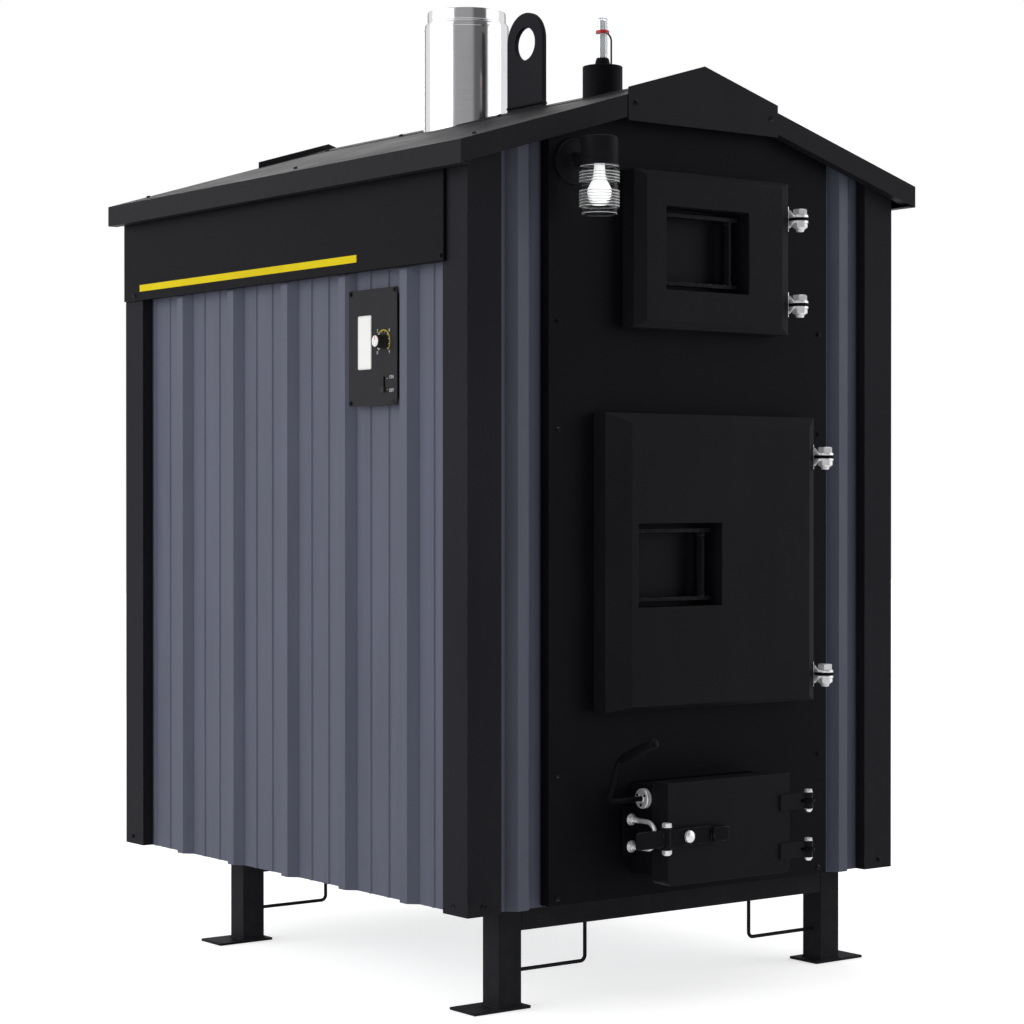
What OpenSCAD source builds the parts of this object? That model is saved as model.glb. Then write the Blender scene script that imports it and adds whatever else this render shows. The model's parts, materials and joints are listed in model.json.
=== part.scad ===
// Outdoor wood boiler: a sheet-metal cabinet on four legs round a welded water jacket,
// with a cleanout door, a fire door and an ash door on its front.
// +Z is up, the doors face -Y, and the origin is at the middle of the base.

/* [Cabinet] */
// Width over the corner trims
body_w = 1190; // [1160:1:1260]
// Depth over the corner trims
body_d = 1412; // [1400:1:1600]
// Height of the cabinet floor above the ground
base_z = 212; // [200:1:300]
// Height of the roof surface at the eaves
eave_z = 1751; // [1745:1:1800]
// Rise of the roof over its run
roof_slope = 0.302; // [0.29:0.005:0.36]

/* [Roof] */
// Roof overhang past the side faces
eave_over = 41; // [36:1:70]
// Roof overhang past the front face
front_over = 35; // [30:1:40]
// Roof overhang past the rear face
rear_over = 13; // [10:1:30]
// Height of the fascia lips
fascia_h = 47; // [40:1:60]
// Width of the lip turned back under the fascia
fascia_return = 24; // [12:1:26]
// Sheet thickness of the roof trays
roof_t = 2; // [1.5:0.1:3]
// Half width of the ridge cap, along the level
cap_half = 78; // [60:1:90]
// Sheet thickness of the ridge cap
cap_t = 1.5; // [1:0.1:2.5]
// Half width of the gable plates
gable_half = 210; // [180:1:230]
// Thickness of the gable plates
gable_t = 2; // [1.5:0.1:4]
// Height of the gable plate's ends
gable_end_h = 69; // [62:1:80]
// How far the gable plate stands above the roof surface
gable_rise = 15; // [10:1:20]

/* [Siding] */
// Depth of the corner trims, from their face to the siding's valleys
trim_depth = 26; // [24:1:30]
// Width of each face of a corner trim
trim_face = 84.5; // [70:0.5:90]
// Sheet thickness of the trims
trim_t = 1.5; // [1:0.1:2]
// Sheet thickness of the siding
siding_t = 1.2; // [0.8:0.1:1.4]
// Height of the siding's large ribs
rib_h = 19; // [12:1:20]
// Width of a large rib at its foot
rib_foot = 64; // [50:1:70]
// Width of a large rib at its top
rib_top = 26; // [18:1:34]
// Distance between large ribs
rib_pitch = 231.5; // [225:0.5:236]
// Distance of the side walls' first large rib from the front face
rib_first = 235; // [228:1:242]
// Height of the small stiffening ribs
bead_h = 2.5; // [1.5:0.1:4]
// Width of a small rib at its foot
bead_foot = 13; // [8:1:16]
// Distance from the middle of a valley to its small ribs
bead_half = 34; // [28:1:40]
// How far the siding hangs below the cabinet floor
siding_drop = 4; // [0:1:8]
// Width of the black front panel
panel_w = 781; // [760:1:800]
// Sheet thickness of the front panel
panel_t = 2; // [1.5:0.1:3]
// Height of the header boards' lower edge
header_z = 1521; // [1500:1:1560]
// How far the header boards stand out from the trims
header_t = 8; // [4:1:8]
// Distance of a header board's front end from the front face
header_start = 71; // [60:1:80]

/* [Stand] */
// Width of a square leg tube
leg_w = 57; // [50:1:60]
// Wall of the leg and rail tubes
tube_wall = 4; // [3:0.5:5]
// Distance of the legs from the cabinet's side faces
leg_inset_x = 116; // [105:1:130]
// Distance of the front legs from the front face
leg_inset_y = 50; // [40:1:60]
// Distance of the rear legs' back from the front face
leg_rear_y = 1112; // [1050:1:1250]
// Height of the cross rails
rail_h = 52; // [45:1:60]
// Length of a foot plate across the cabinet
foot_w = 143; // [130:1:160]
// Width of a foot plate from front to back
foot_d = 88; // [80:1:110]
// Thickness of the foot plates
foot_t = 6; // [5:0.5:8]
// How far a foot plate reaches past the leg on its inner side
foot_inner = 19; // [15:1:25]
// Diameter of the tie-down rods
rod_d = 8; // [6:0.5:12]
// Height of a tie-down rod's level run
rod_z = 74; // [60:1:90]
// Length of a tie-down rod's level run
rod_run = 190; // [150:1:220]

/* [Doors] */
// Distance of both large doors' middle from the cabinet's middle
door_shift = 20; // [10:1:26]
// Width of the fire door
fire_w = 588; // [560:1:600]
// Height of the fire door
fire_h = 618; // [600:1:624]
// Height of the fire door's lower edge
fire_z = 603; // [598:1:620]
// Width of the cleanout door
clean_w = 436; // [420:1:450]
// Height of the cleanout door
clean_h = 330; // [328:1:340]
// Height of the cleanout door's lower edge
clean_z = 1398; // [1390:1:1405]
// Depth of the doors' straight rim
rim_depth = 39; // [36:1:42]
// How far the doors' faces stand in front of their rims
face_rise = 10; // [6:1:14]
// Sheet thickness of the doors
door_t = 4; // [3:0.5:5]
// Gap between a closed door and the front panel
door_gap = 1; // [1:0.5:3]
// Width of the handle pockets
pocket_w = 231; // [220:1:236]
// Height of the handle pockets
pocket_h = 175; // [168:1:180]
// Distance of a pocket from its door's left edge
pocket_x = 80; // [76:1:86]
// Depth of the handle pockets
pocket_depth = 56; // [52:1:60]
// Distance from a handle's pivot to its grip
grip_reach = 177; // [170:1:182]
// Diameter of the grip
grip_d = 23; // [18:1:26]
// Height over a handle's arms
handle_h = 153; // [146:1:158]
// Thickness of a handle's arms
arm_t = 9; // [7:0.5:10]
// Depth of a handle's arms
arm_depth = 16; // [12:1:18]
// Distance of the handle behind the door's face
handle_back = 28; // [26:1:32]
// Diameter of a handle's pivot pin
pivot_d = 10; // [8:0.5:11]
// Wall of the door necks
neck_t = 6; // [5:0.5:8]
// Distance from a large door's rim to the inside of its neck
neck_inset = 54; // [50:1:54]
// Thickness of the rope gaskets
rope = 15; // [12:0.5:16]

/* [Hinges] */
// Diameter of the door hinge bolts
bolt_d = 19; // [16:0.5:20]
// Distance of the hinge bolts from their door's edge
bolt_out = 27; // [26:0.5:30]
// Distance of the hinge bolts in front of the panel
bolt_fwd = 48; // [46:1:52]
// Radius of the hinge ears round their bolt
ear_r = 19; // [17:0.5:20]
// Thickness of the hinge ears
ear_t = 6; // [5:0.5:7]
// Thickness of the zinc hinge straps
strap_t = 5; // [4:0.5:6]
// Radial clearance of the hinge straps on their bolts
hinge_clear = 0.08; // [0.05:0.01:0.1]
// Distance from the fire door's upper edge to its upper hinge
fire_hinge_top = 86; // [70:1:100]
// Distance from the fire door's lower edge to its lower hinge
fire_hinge_bottom = 56; // [50:1:80]
// Distance from the cleanout door's upper edge to its upper hinge
clean_hinge_top = 77; // [60:1:90]
// Distance from the cleanout door's lower edge to its lower hinge
clean_hinge_bottom = 67; // [50:1:80]

/* [Ash door] */
// Width of the ash door
ash_w = 340; // [330:1:350]
// Height of the ash door
ash_h = 212; // [208:1:216]
// Height of the ash door's lower edge
ash_z = 247; // [244:1:250]
// Depth of the ash door's rim
ash_rim = 52; // [46:1:56]
// Distance of the ash door's face in front of the panel
ash_fwd = 118; // [110:1:124]
// Clearance between the ash door's rim and its neck
ash_clear = 2; // [1.5:0.5:3]
// Diameter of the ash door's hinge and lever bolts
ash_bolt_d = 10; // [8:0.5:11]
// Distance of the ash hinge bolts from the door's edge
ash_bolt_out = 52; // [48:1:56]
// Length of the latch lever left of its pivot
lever_tail = 80; // [70:1:84]
// Length of the latch lever right of its pivot
lever_len = 165; // [150:1:180]
// Height of the latch lever
lever_h = 36; // [30:1:38]
// Height of the latch lever's middle
lever_z = 348; // [344:1:352]
// Distance between the legs of the U-bolt
ubolt_gap = 56; // [54:1:60]
// Diameter of the U-bolt's rod
ubolt_d = 10; // [8:0.5:10]
// Distance from the keeper tab to the U-bolt's bend
ubolt_len = 84; // [70:1:86]

/* [Shaker] */
// Height of the shaker shaft
shaft_z = 422; // [418:1:426]
// Distance of the shaker shaft in front of the panel
shaft_fwd = 46; // [40:1:50]
// Diameter of the shaker shaft and its crank
crank_d = 11; // [9:0.5:12]
// Radius of the shaft's bearing hub
hub_r = 21; // [18:0.5:24]
// Thickness of the hub
hub_t = 12; // [10:0.5:16]
// How far the crank stands out from the ash neck
crank_out = 98; // [90:1:110]
// Height of the crank's arm
crank_rise = 84; // [76:1:90]
// Length of the crank's grip
crank_grip = 118; // [100:1:130]
// Diameter of the crank's grip
crank_grip_d = 22; // [18:1:26]

/* [Chimney and vent] */
// Outer diameter of the insulated chimney
chimney_d = 203; // [190:1:210]
// Diameter of the chimney's coupling ring
ring_d = 189; // [180:1:189]
// Bore of the chimney's inner pipe
flue_d = 152; // [140:1:156]
// Height of the chimney's top above the ground
chimney_top = 2200; // [2150:5:2300]
// Height of the coupling ring
ring_h = 31; // [25:1:40]
// Distance of the chimney's axis from the front face
chimney_y = 822; // [800:1:850]
// Outer diameter of the vent riser
vent_d = 89; // [80:1:92]
// Height of the vent cap's top
vent_top = 2004; // [1990:1:2030]
// Distance of the vent's axis from the front face
vent_y = 307; // [290:1:330]
// Height of the level gauge above the vent cap
gauge_h = 108; // [95:1:120]
// Width of the lifting lug
lug_w = 135; // [120:1:140]
// Thickness of the lifting lug
lug_t = 12; // [10:0.5:16]
// Height of the lifting lug's top
lug_top = 2166; // [2140:1:2190]
// Diameter of the lifting lug's hole
lug_hole = 75; // [60:1:80]
// Distance of the lug from the front face
lug_y = 585; // [570:1:600]

/* [Light] */
// Position of the light left of the cabinet's middle
light_x = 325; // [300:1:335]
// Height of the light's wall plate
light_z = 1735; // [1725:1:1745]
// Diameter of the light's wall plate
light_plate_d = 98; // [90:1:104]
// Distance of the jar's axis in front of the panel
jar_fwd = 83; // [76:1:88]
// Diameter of the glass jar
jar_d = 83; // [80:1:86]
// Height of the glass jar
jar_h = 100; // [90:1:110]
// Wall of the glass jar
jar_t = 3; // [2:0.5:4]
// Diameter of the lamp holder
holder_d = 77; // [74:1:79]
// Height of the lamp holder
holder_h = 60; // [52:1:64]

/* [Controls] */
// Distance of the control plate's middle from the front face
ctrl_y = 343; // [338:1:348]
// Width of the control plate
ctrl_w = 180; // [174:1:184]
// Height of the control plate
ctrl_h = 245; // [235:1:255]
// Height of the control plate's lower edge
ctrl_z = 1238; // [1220:1:1250]
// Diameter of the thermostat knob
knob_d = 30; // [26:1:32]
// Length of the thermostat knob
knob_h = 21; // [18:1:24]
// Travel of the power switch
switch_travel = 22; // [18:1:24]

/* [Pressure vessel] */
// Thickness of the insulation beside the water jacket
side_foam = 24.8; // [20:0.1:34]
// Distance of the jacket's front plate from the front face
jacket_y = 60; // [56:1:70]
// Distance of the jacket's rear plate from the rear face
jacket_rear = 82; // [70:1:110]
// Height of the jacket's shoulders
shoulder_z = 1600; // [1550:5:1640]
// Width of the jacket's crown
crown_w = 660; // [620:1:700]
// Height of the jacket's crown
crown_z = 1800; // [1795:1:1805]
// Plate thickness of the jacket
plate_t = 6; // [5:0.5:7]
// Plate thickness of the firebox
fire_plate = 8; // [6:0.5:9]
// Width of the firebox
firebox_w = 770; // [740:1:800]
// Water space between the firebox and the jacket's rear plate
water_rear = 124; // [90:1:170]
// Height of the firebox floor
firebox_z = 470; // [466:1:476]
// Height of the firebox roof
firebox_top = 1250; // [1230:1:1270]
// Distance from the ash pit's rear end to the firebox's back
pit_rear = 190; // [160:1:230]
// Width of the ash pit
pit_w = 366; // [362:1:376]
// Outer diameter of a fire tube
tube_d = 89; // [80:1:92]
// Wall of a fire tube
fire_tube_wall = 4; // [3:0.5:5]
// Distance between fire tubes
tube_pitch = 105; // [98:1:108]
// Number of fire tubes across
tubes_across = 3; // [2:1:3]
// Number of rows of fire tubes
tube_rows = 2; // [1:1:2]
// Width of the flue duct over the fire tubes
duct_w = 140; // [120:1:150]
// Height of the gauge's float below the vent's rim
float_drop = 190; // [170:1:200]

/* [Hidden] */

pan_t = 3;
half_w = body_w / 2;
roof_half = half_w + eave_over;
roof_v = roof_t * sqrt(1 + roof_slope * roof_slope);
cap_v = cap_t * sqrt(1 + roof_slope * roof_slope);
cap_gap = 0.05;
weld_gap = 0.05;
roof_angle = atan(roof_slope);
valley_x = half_w - trim_depth;
skirt_z = base_z - siding_drop;
floor_z = base_z + pan_t;
inner_x = valley_x - siding_t;
inner_y = trim_depth + siding_t;

// Doors: left, right, lower and upper edge, bevels left, right, top and bottom,
// pocket offset, and the heights of the lower and upper hinge.
fire = [door_shift - fire_w / 2, door_shift + fire_w / 2, fire_z, fire_z + fire_h,
    63, 22, 22, 9, -7, fire_z + fire_hinge_bottom, fire_z + fire_h - fire_hinge_top];
clean = [door_shift - clean_w / 2, door_shift + clean_w / 2, clean_z, clean_z + clean_h,
    27, 27, 12, 14, 4, clean_z + clean_hinge_bottom, clean_z + clean_h - clean_hinge_top];
rim_y = -(door_gap + rim_depth);
face_y = rim_y - face_rise;
seal_y = rim_y + 18;
neck_y = seal_y + rope + 0.4;
plug_gap = 12;
liner_t = 3;
plug_back = seal_y + 47;
pocket_wall = 3;
handle_y = face_y + handle_back;
pivot_in = 14;
hinge_y = -bolt_fwd;
base_t = 3;
strap_gap = 0.5;
stack_z = ear_t / 2 + strap_gap + strap_t;
foam_gap = 3;
jacket_w = 2 * (inner_x - foam_gap - side_foam);
jacket_d = body_d - jacket_rear - jacket_y;
firebox_y = jacket_y + 50;
firebox_d = jacket_y + jacket_d - plate_t - water_rear - firebox_y;
pit_end = firebox_y + firebox_d - pit_rear;

// Ash neck, its door and the shaker
ash_x = -2;
ash_neck_z = ash_z + 17;
ash_neck_top = ash_z + ash_h - 9;
ash_half = ash_w / 2;
ash_face = -ash_fwd;
ash_rim_y = ash_face + ash_rim;
ash_neck_y = ash_rim_y + ash_clear;
ash_wall = 4;
lip_w = ash_wall + 1 + rope + 2;
ash_bolt_x = ash_x + ash_half + ash_bolt_out;
ash_bolt_y = ash_face - 4;
ash_hinges = [293, 397];
lever_x = ash_x - ash_half - 14;
lever_y = ash_face - 10;
lever_t = 6;
tab_y = -16;
tab_t = 6;
ubolt_x = ash_x - ash_half - 13;
shaft_y = -shaft_fwd;
arm_x = ash_x - ash_half + 32;
arm_r = 60;
grip_tilt = 21.8;
crank_lean = 29;
crank_tip = shaft_fwd + crank_lean + 11 + (crank_grip + 4) * cos(grip_tilt) + 4;

// The frame: everything is placed from the front face, then moved to centre the whole depth.
rear_y = body_d + rear_over + gable_t;
front_y = (crank_tip - rear_y) / 2;

// Inside
fire_left = -firebox_w / 2;
fire_right = fire_left + firebox_w;
pit_left = ash_x - pit_w / 2;
pit_right = ash_x + pit_w / 2;
chamber_left = clean[0] + neck_inset - neck_t;
chamber_right = clean[1] - neck_inset + neck_t;
chamber_z = clean[2] + neck_inset - neck_t;
chamber_top = clean[3] - neck_inset + neck_t;
smoke_y = firebox_y + firebox_d - 78;
shell_t = 6;
duct_t = 5;
duct_x = 50;
flue_half = flue_d / 2 + 19;
crown_low = crown_z - plate_t;
grate_z = firebox_z - 18;
ledge_gap = 0.3;
link_x = arm_x + 16;

function roof_at(x) = eave_z + (roof_half - abs(x)) * roof_slope;
function under_at(x) = roof_at(x) - roof_v;
function bump(c, foot, top, h) = [[c - foot / 2, 0], [c - top / 2, h], [c + top / 2, h],
    [c + foot / 2, 0]];
function bead(c, a, b) = c - bead_foot < a || c + bead_foot > b
    ? [] : bump(c, bead_foot, bead_foot / 2, bead_h);
function cell(c, a, b) = concat(bead(c - bead_half, a, b), bead(c + bead_half, a, b));
function sunk(p) = [for (i = [len(p) - 1:-1:0]) [p[i][0], p[i][1] - siding_t]];

module at_front() {
    translate([0, front_y, 0]) children();
}

module box(x0, x1, y0, y1, z0, z1) {
    translate([x0, y0, z0]) cube([x1 - x0, y1 - y0, z1 - z0]);
}

// A drawing in X and Z, made solid from y = a to y = b.
module xz(a, b) {
    translate([0, b, 0]) rotate([90, 0, 0]) linear_extrude(b - a) children();
}

// A drawing in Y and Z, made solid from x = a to x = b.
module yz(a, b) {
    translate([a, 0, 0]) rotate([90, 0, 90]) linear_extrude(b - a) children();
}

// A drawing in X and Y, made solid from z = a to z = b.
module xy(a, b) {
    translate([0, 0, a]) linear_extrude(b - a) children();
}

module post(x, y, z0, z1, r) {
    translate([x, y, z0]) cylinder(r = r, h = z1 - z0);
}

// A round bar along X.
module bar_x(x0, x1, y, z, r) {
    translate([x0, y, z]) rotate([0, 90, 0]) cylinder(r = r, h = x1 - x0);
}

// A round bar along Y.
module bar_y(x, y0, y1, z, r) {
    translate([x, y1, z]) rotate([90, 0, 0]) cylinder(r = r, h = y1 - y0);
}

module both_sides() {
    children();
    mirror([1, 0, 0]) children();
}

// Everything below the roof trays.
module under_roof() {
    w = roof_half + 40;
    xz(-100, body_d + 100) polygon([[-w, 0], [w, 0], [w, under_at(w)], [0, under_at(0)],
        [-w, under_at(w)]]);
}

module leg(y) {
    x0 = half_w - leg_inset_x - leg_w;
    foot_x = x0 - foot_inner;
    foot_y = y + leg_w / 2 + 8 - foot_d / 2;
    box(foot_x, foot_x + foot_w, foot_y, foot_y + foot_d, 0, foot_t);
    difference() {
        box(x0, x0 + leg_w, y, y + leg_w, foot_t - 1, base_z);
        box(x0 + tube_wall, x0 + leg_w - tube_wall, y + tube_wall, y + leg_w - tube_wall,
            foot_t, base_z + 1);
    }
}

module leg_front_left() {
    color("DimGray") at_front() mirror([1, 0, 0]) leg(leg_inset_y);
}

module leg_front_right() {
    color("DimGray") at_front() leg(leg_inset_y);
}

module leg_rear_left() {
    color("DimGray") at_front() mirror([1, 0, 0]) leg(leg_rear_y - leg_w);
}

module leg_rear_right() {
    color("DimGray") at_front() leg(leg_rear_y - leg_w);
}

module rail(y) {
    x = half_w - leg_inset_x - leg_w;
    difference() {
        box(-x, x, y, y + 50, base_z - rail_h, base_z);
        box(-x - 1, x + 1, y + tube_wall, y + 50 - tube_wall,
            base_z - rail_h + tube_wall, base_z - tube_wall);
    }
}

module cross_rails() {
    color("DimGray") at_front() {
        rail(leg_inset_y);
        rail(leg_rear_y - 50);
    }
}

// A rod from a leg's inner face, bent up to the rail.
module tie_rod(y) {
    x1 = half_w - leg_inset_x - leg_w;
    x0 = x1 - rod_run;
    bend = rod_d * 1.5;
    bar_x(x0 + bend, x1, y, rod_z, rod_d / 2);
    translate([x0 + bend, y, rod_z + bend]) rotate([90, 0, 0]) rotate([0, 0, 180])
        rotate_extrude(angle = 90) translate([bend, 0]) circle(d = rod_d);
    post(x0, y, rod_z + bend, base_z - rail_h, rod_d / 2);
}

module tie_down_rods() {
    color("DimGray") at_front() both_sides() {
        tie_rod(leg_inset_y + 30);
        tie_rod(leg_rear_y - 30);
    }
}

module floor_pan() {
    rim = 20;
    color("DimGray") at_front() difference() {
        box(-inner_x, inner_x, inner_y, body_d - inner_y, base_z, floor_z + rim);
        box(-inner_x + 2, inner_x - 2, inner_y + 2, body_d - inner_y - 2,
            floor_z, floor_z + rim + 1);
        box(-panel_w / 2 + 10, panel_w / 2 - 10, 0, inner_y + 3, floor_z, floor_z + rim + 1);
    }
}

module trim_corner() {
    t = trim_t;
    translate([-half_w, 0]) polygon([[0, 0], [trim_face, 0], [trim_face, trim_depth],
        [trim_face - t, trim_depth], [trim_face - t, t], [t, t], [t, trim_face - t],
        [trim_depth, trim_face - t], [trim_depth, trim_face], [0, trim_face]]);
}

module corner_trims() {
    color("Black") at_front() intersection() {
        xy(skirt_z, eave_z + 60) for (m = [0, 1]) mirror([m, 0]) {
            trim_corner();
            translate([0, body_d]) mirror([0, 1]) trim_corner();
        }
        under_roof();
    }
}

module sheet_line(line, a, b) {
    polygon(concat([[a, 0]], line, [[b, 0], [b, -siding_t]], sunk(line), [[a, -siding_t]]));
}

module side_sheet() {
    a = inner_y + 1;
    b = body_d - a;
    low = trim_face;
    high = body_d - trim_face;
    n = floor((high - rib_foot / 2 - 10 - rib_first) / rib_pitch) + 1;
    line = [for (i = [0:n]) each concat(cell(rib_first + (i - 0.5) * rib_pitch, low, high),
        i < n ? bump(rib_first + i * rib_pitch, rib_foot, rib_top, rib_h) : [])];
    intersection() {
        translate([-valley_x, 0, skirt_z]) rotate([0, 0, 90])
            linear_extrude(eave_z + 60 - skirt_z) sheet_line(line, a, b);
        under_roof();
    }
}

module left_siding() {
    color("SlateGray") at_front() side_sheet();
}

module right_siding() {
    color("SlateGray") at_front() mirror([1, 0, 0]) side_sheet();
}

// The rear ports' places across and up, and their hole in the siding.
ports = [[-1.5, 1480], [1.5, 1480], [-1.5, 330], [1.5, 330], [0.5, 262]];
port_r = 24;

module rear_siding() {
    high = half_w - trim_face;
    n = floor((high - rib_foot / 2 - 5) / rib_pitch);
    line = [for (i = [-n:n]) each concat(
        i > -n ? cell((i - 0.5) * rib_pitch, -high, high) : [],
        bump(i * rib_pitch, rib_foot, rib_top, rib_h))];
    color("SlateGray") at_front() difference() {
        intersection() {
            translate([0, body_d - trim_depth, skirt_z]) linear_extrude(roof_at(0) - skirt_z)
                sheet_line(line, -inner_x + 1, inner_x - 1);
            under_roof();
        }
        for (p = ports) bar_y(p[0] * rib_pitch, body_d - 60, body_d, p[1], port_r + 2);
    }
}

module front_siding() {
    a = panel_w / 2 - 20;
    b = inner_x - 1;
    line = bump((panel_w / 2 + half_w - trim_face) / 2, rib_foot, rib_top, rib_h);
    color("SlateGray") at_front() intersection() {
        translate([0, trim_depth, skirt_z]) mirror([0, 1, 0])
            linear_extrude(roof_at(0) - skirt_z) for (m = [0, 1]) mirror([m, 0])
                sheet_line(line, a, b);
        under_roof();
    }
}

// A hole for a door's neck, and slots for its hinge ears.
module frame_hole(d) {
    g = neck_inset - neck_t - 2;
    bx = d[1] + bolt_out;
    box(d[0] + g, d[1] - g, -1, trim_depth + 10, d[2] + g, d[3] - g);
    for (i = [9, 10]) box(bx - ear_r - 1, bx + ear_r + 1, -1, trim_depth - 1,
        d[i] - ear_t / 2 - 1, d[i] + ear_t / 2 + 1);
}

module front_panel() {
    p = panel_w / 2;
    color("Black") at_front() difference() {
        intersection() {
            union() {
                box(-p, p, 0, panel_t, base_z, roof_at(0));
                for (m = [0, 1]) mirror([m, 0, 0])
                    box(p - panel_t, p, 0, trim_depth, base_z, roof_at(0));
                box(-p, p, 0, trim_depth, base_z, base_z + panel_t);
            }
            under_roof();
        }
        frame_hole(fire);
        frame_hole(clean);
        box(ash_x - ash_half - 2, ash_x + ash_half + 2, -1, panel_t + 1,
            ash_neck_z - 2, ash_neck_top + 2);
    }
}

module header_boards() {
    y0 = header_start;
    y1 = body_d - 5;
    color("Black") at_front() both_sides() intersection() {
        union() {
            box(half_w, half_w + header_t, y0, y1, header_z, eave_z + 60);
            box(valley_x + rib_h, half_w + 1, trim_face + 1, body_d - trim_face - 1,
                header_z, header_z + 3);
        }
        under_roof();
    }
}

// Holes for the vent riser, the chimney and the lifting lug.
module ridge_holes() {
    post(0, vent_y, 1700, 2000, vent_d / 2 + 1);
    post(0, chimney_y, 1700, 2000, chimney_d / 2 + 1);
    box(-lug_t / 2 - 1, lug_t / 2 + 1, lug_y - lug_w / 2 - 1, lug_y + lug_w / 2 + 1,
        1700, 2000);
}

module roof_tray() {
    a = -front_over;
    b = body_d + rear_over;
    w = roof_half;
    seam = 1;
    color("DarkSlateGray") at_front() difference() {
        union() {
            xz(a, b) polygon([[-w, eave_z - roof_v], [-seam, under_at(seam)],
                [-seam, roof_at(seam)], [-w, eave_z]]);
            for (y = [a, b - roof_t]) xz(y, y + roof_t) polygon([[-w, eave_z - fascia_h],
                [-seam, roof_at(seam) - fascia_h], [-seam, roof_at(seam)], [-w, eave_z]]);
            xz(a, a + fascia_return) polygon([[-w, eave_z - fascia_h],
                [-seam, roof_at(seam) - fascia_h], [-seam, roof_at(seam) - fascia_h + roof_v],
                [-w, eave_z - fascia_h + roof_v]]);
            box(-w, -w + roof_t, a, b, eave_z - fascia_h, eave_z - roof_v + 1);
            box(-w, -w + fascia_return, a, b, eave_z - fascia_h,
                eave_z - fascia_h + roof_t);
        }
        ridge_holes();
    }
}

module roof_left() {
    roof_tray();
}

module roof_right() {
    mirror([1, 0, 0]) roof_tray();
}

module ridge_cap() {
    c = cap_half;
    low = roof_at(c) + cap_gap;
    mid = roof_at(0) + cap_gap;
    color("DarkSlateGray") at_front() difference() {
        xz(-front_over, body_d + rear_over) polygon([[-c, low], [0, mid], [c, low],
            [c, low + cap_v], [0, mid + cap_v], [-c, low + cap_v]]);
        ridge_holes();
    }
}

module gable_plates() {
    g = gable_half;
    side = roof_at(g) + gable_rise;
    color("DarkSlateGray") at_front() for (y = [-front_over - gable_t, body_d + rear_over])
        xz(y, y + gable_t) polygon([[-g, side - gable_end_h], [g, side - gable_end_h],
            [g, side], [0, roof_at(0) + gable_rise], [-g, side]]);
}

module lifting_lug() {
    r = lug_w / 2;
    color("DimGray") at_front() yz(-lug_t / 2, lug_t / 2) difference() {
        union() {
            translate([lug_y, lug_top - r]) circle(r = r);
            translate([lug_y - r, crown_z]) square([lug_w, lug_top - r - crown_z]);
        }
        translate([lug_y, lug_top - r - 4]) circle(d = lug_hole);
    }
}

module chimney_shell() {
    r = chimney_d / 2;
    q = ring_d / 2;
    z1 = chimney_top - ring_h;
    color("Silver") at_front() translate([0, chimney_y, 0]) rotate_extrude() polygon([
        [r, crown_z], [r, z1], [q, z1], [q, chimney_top], [flue_d / 2 + 3, chimney_top],
        [flue_d / 2 + 3, chimney_top - 2], [q - 2, chimney_top - 2], [q - 2, z1 - 2],
        [r - 2, z1 - 2], [r - 2, crown_z]]);
}

module chimney_liner() {
    color("Silver") at_front() difference() {
        post(0, chimney_y, crown_z, chimney_top - 3, flue_d / 2 + 2);
        post(0, chimney_y, crown_z - 1, chimney_top, flue_d / 2);
    }
}

vent_wall = 4;
vent_rim = vent_top - 8;
rod_x = 25;

module vent_riser() {
    color("Silver") at_front() difference() {
        post(0, vent_y, crown_z, vent_rim, vent_d / 2);
        post(0, vent_y, crown_z - 1, vent_rim + 1, vent_d / 2 - vent_wall);
    }
}

module vent_cap() {
    color("Black") at_front() difference() {
        union() {
            post(0, vent_y, vent_rim, vent_top, vent_d / 2);
            post(0, vent_y, vent_rim - 14, vent_rim + 1, vent_d / 2 - vent_wall - 0.1);
            translate([0, vent_y, vent_top - 1]) cylinder(r1 = 18, r2 = 14, h = 20);
        }
        post(0, vent_y, vent_top, vent_top + 30, 11.05);
        post(rod_x, vent_y, vent_rim - 20, vent_top + 30, 2.08);
    }
}

module gauge_tube() {
    color("White") at_front() difference() {
        post(0, vent_y, vent_top, vent_top + gauge_h, 11);
        post(0, vent_y, vent_top + 3, vent_top + gauge_h - 3, 8);
        post(0, vent_y, vent_top + gauge_h - 4, vent_top + gauge_h + 1, 3);
    }
}

mark_z = vent_top + gauge_h - 37;

// A float on a thin rod, with a ring round the gauge tube as its pointer.
module float_rod() {
    float_z = vent_rim - float_drop;
    color("Red") at_front() {
        post(0, vent_y, float_z, float_z + 50, 32);
        post(rod_x, vent_y, float_z + 49, mark_z + 6, 2);
        bar_x(13, rod_x, vent_y, mark_z + 4, 2);
        difference() {
            post(0, vent_y, mark_z, mark_z + 9, 15);
            post(0, vent_y, mark_z - 1, mark_z + 10, 11.4);
        }
    }
}

module light_fixture() {
    z = light_z;
    cap_low = z - 18;
    color("White") at_front() translate([-light_x, 0, 0]) difference() {
        union() {
            bar_y(0, -7, 0, z, light_plate_d / 2);
            bar_y(0, -jar_fwd, -6, z, 14);
            post(0, -jar_fwd, cap_low, cap_low + holder_h, holder_d / 2);
        }
        post(0, -jar_fwd, cap_low - 1, cap_low + 12, 12);
    }
}

module light_jar() {
    top = light_z - 18;
    r = jar_d / 2;
    color("LightCyan") at_front() translate([-light_x, -jar_fwd, 0]) rotate_extrude()
        polygon([[0, top - jar_h], [r - 9, top - jar_h], [r, top - jar_h + 9], [r, top],
            [r - jar_t, top], [r - jar_t, top - jar_h + 10], [r - 10, top - jar_h + jar_t],
            [0, top - jar_h + jar_t]]);
}

module light_bulb() {
    top = light_z - 6;
    color("White") at_front() translate([-light_x, -jar_fwd, 0]) rotate_extrude()
        polygon([[0, top], [11, top], [11, top - 36], [20, top - 50], [25, top - 67],
            [22, top - 81], [12, top - 90], [0, top - 93]]);
}

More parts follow.
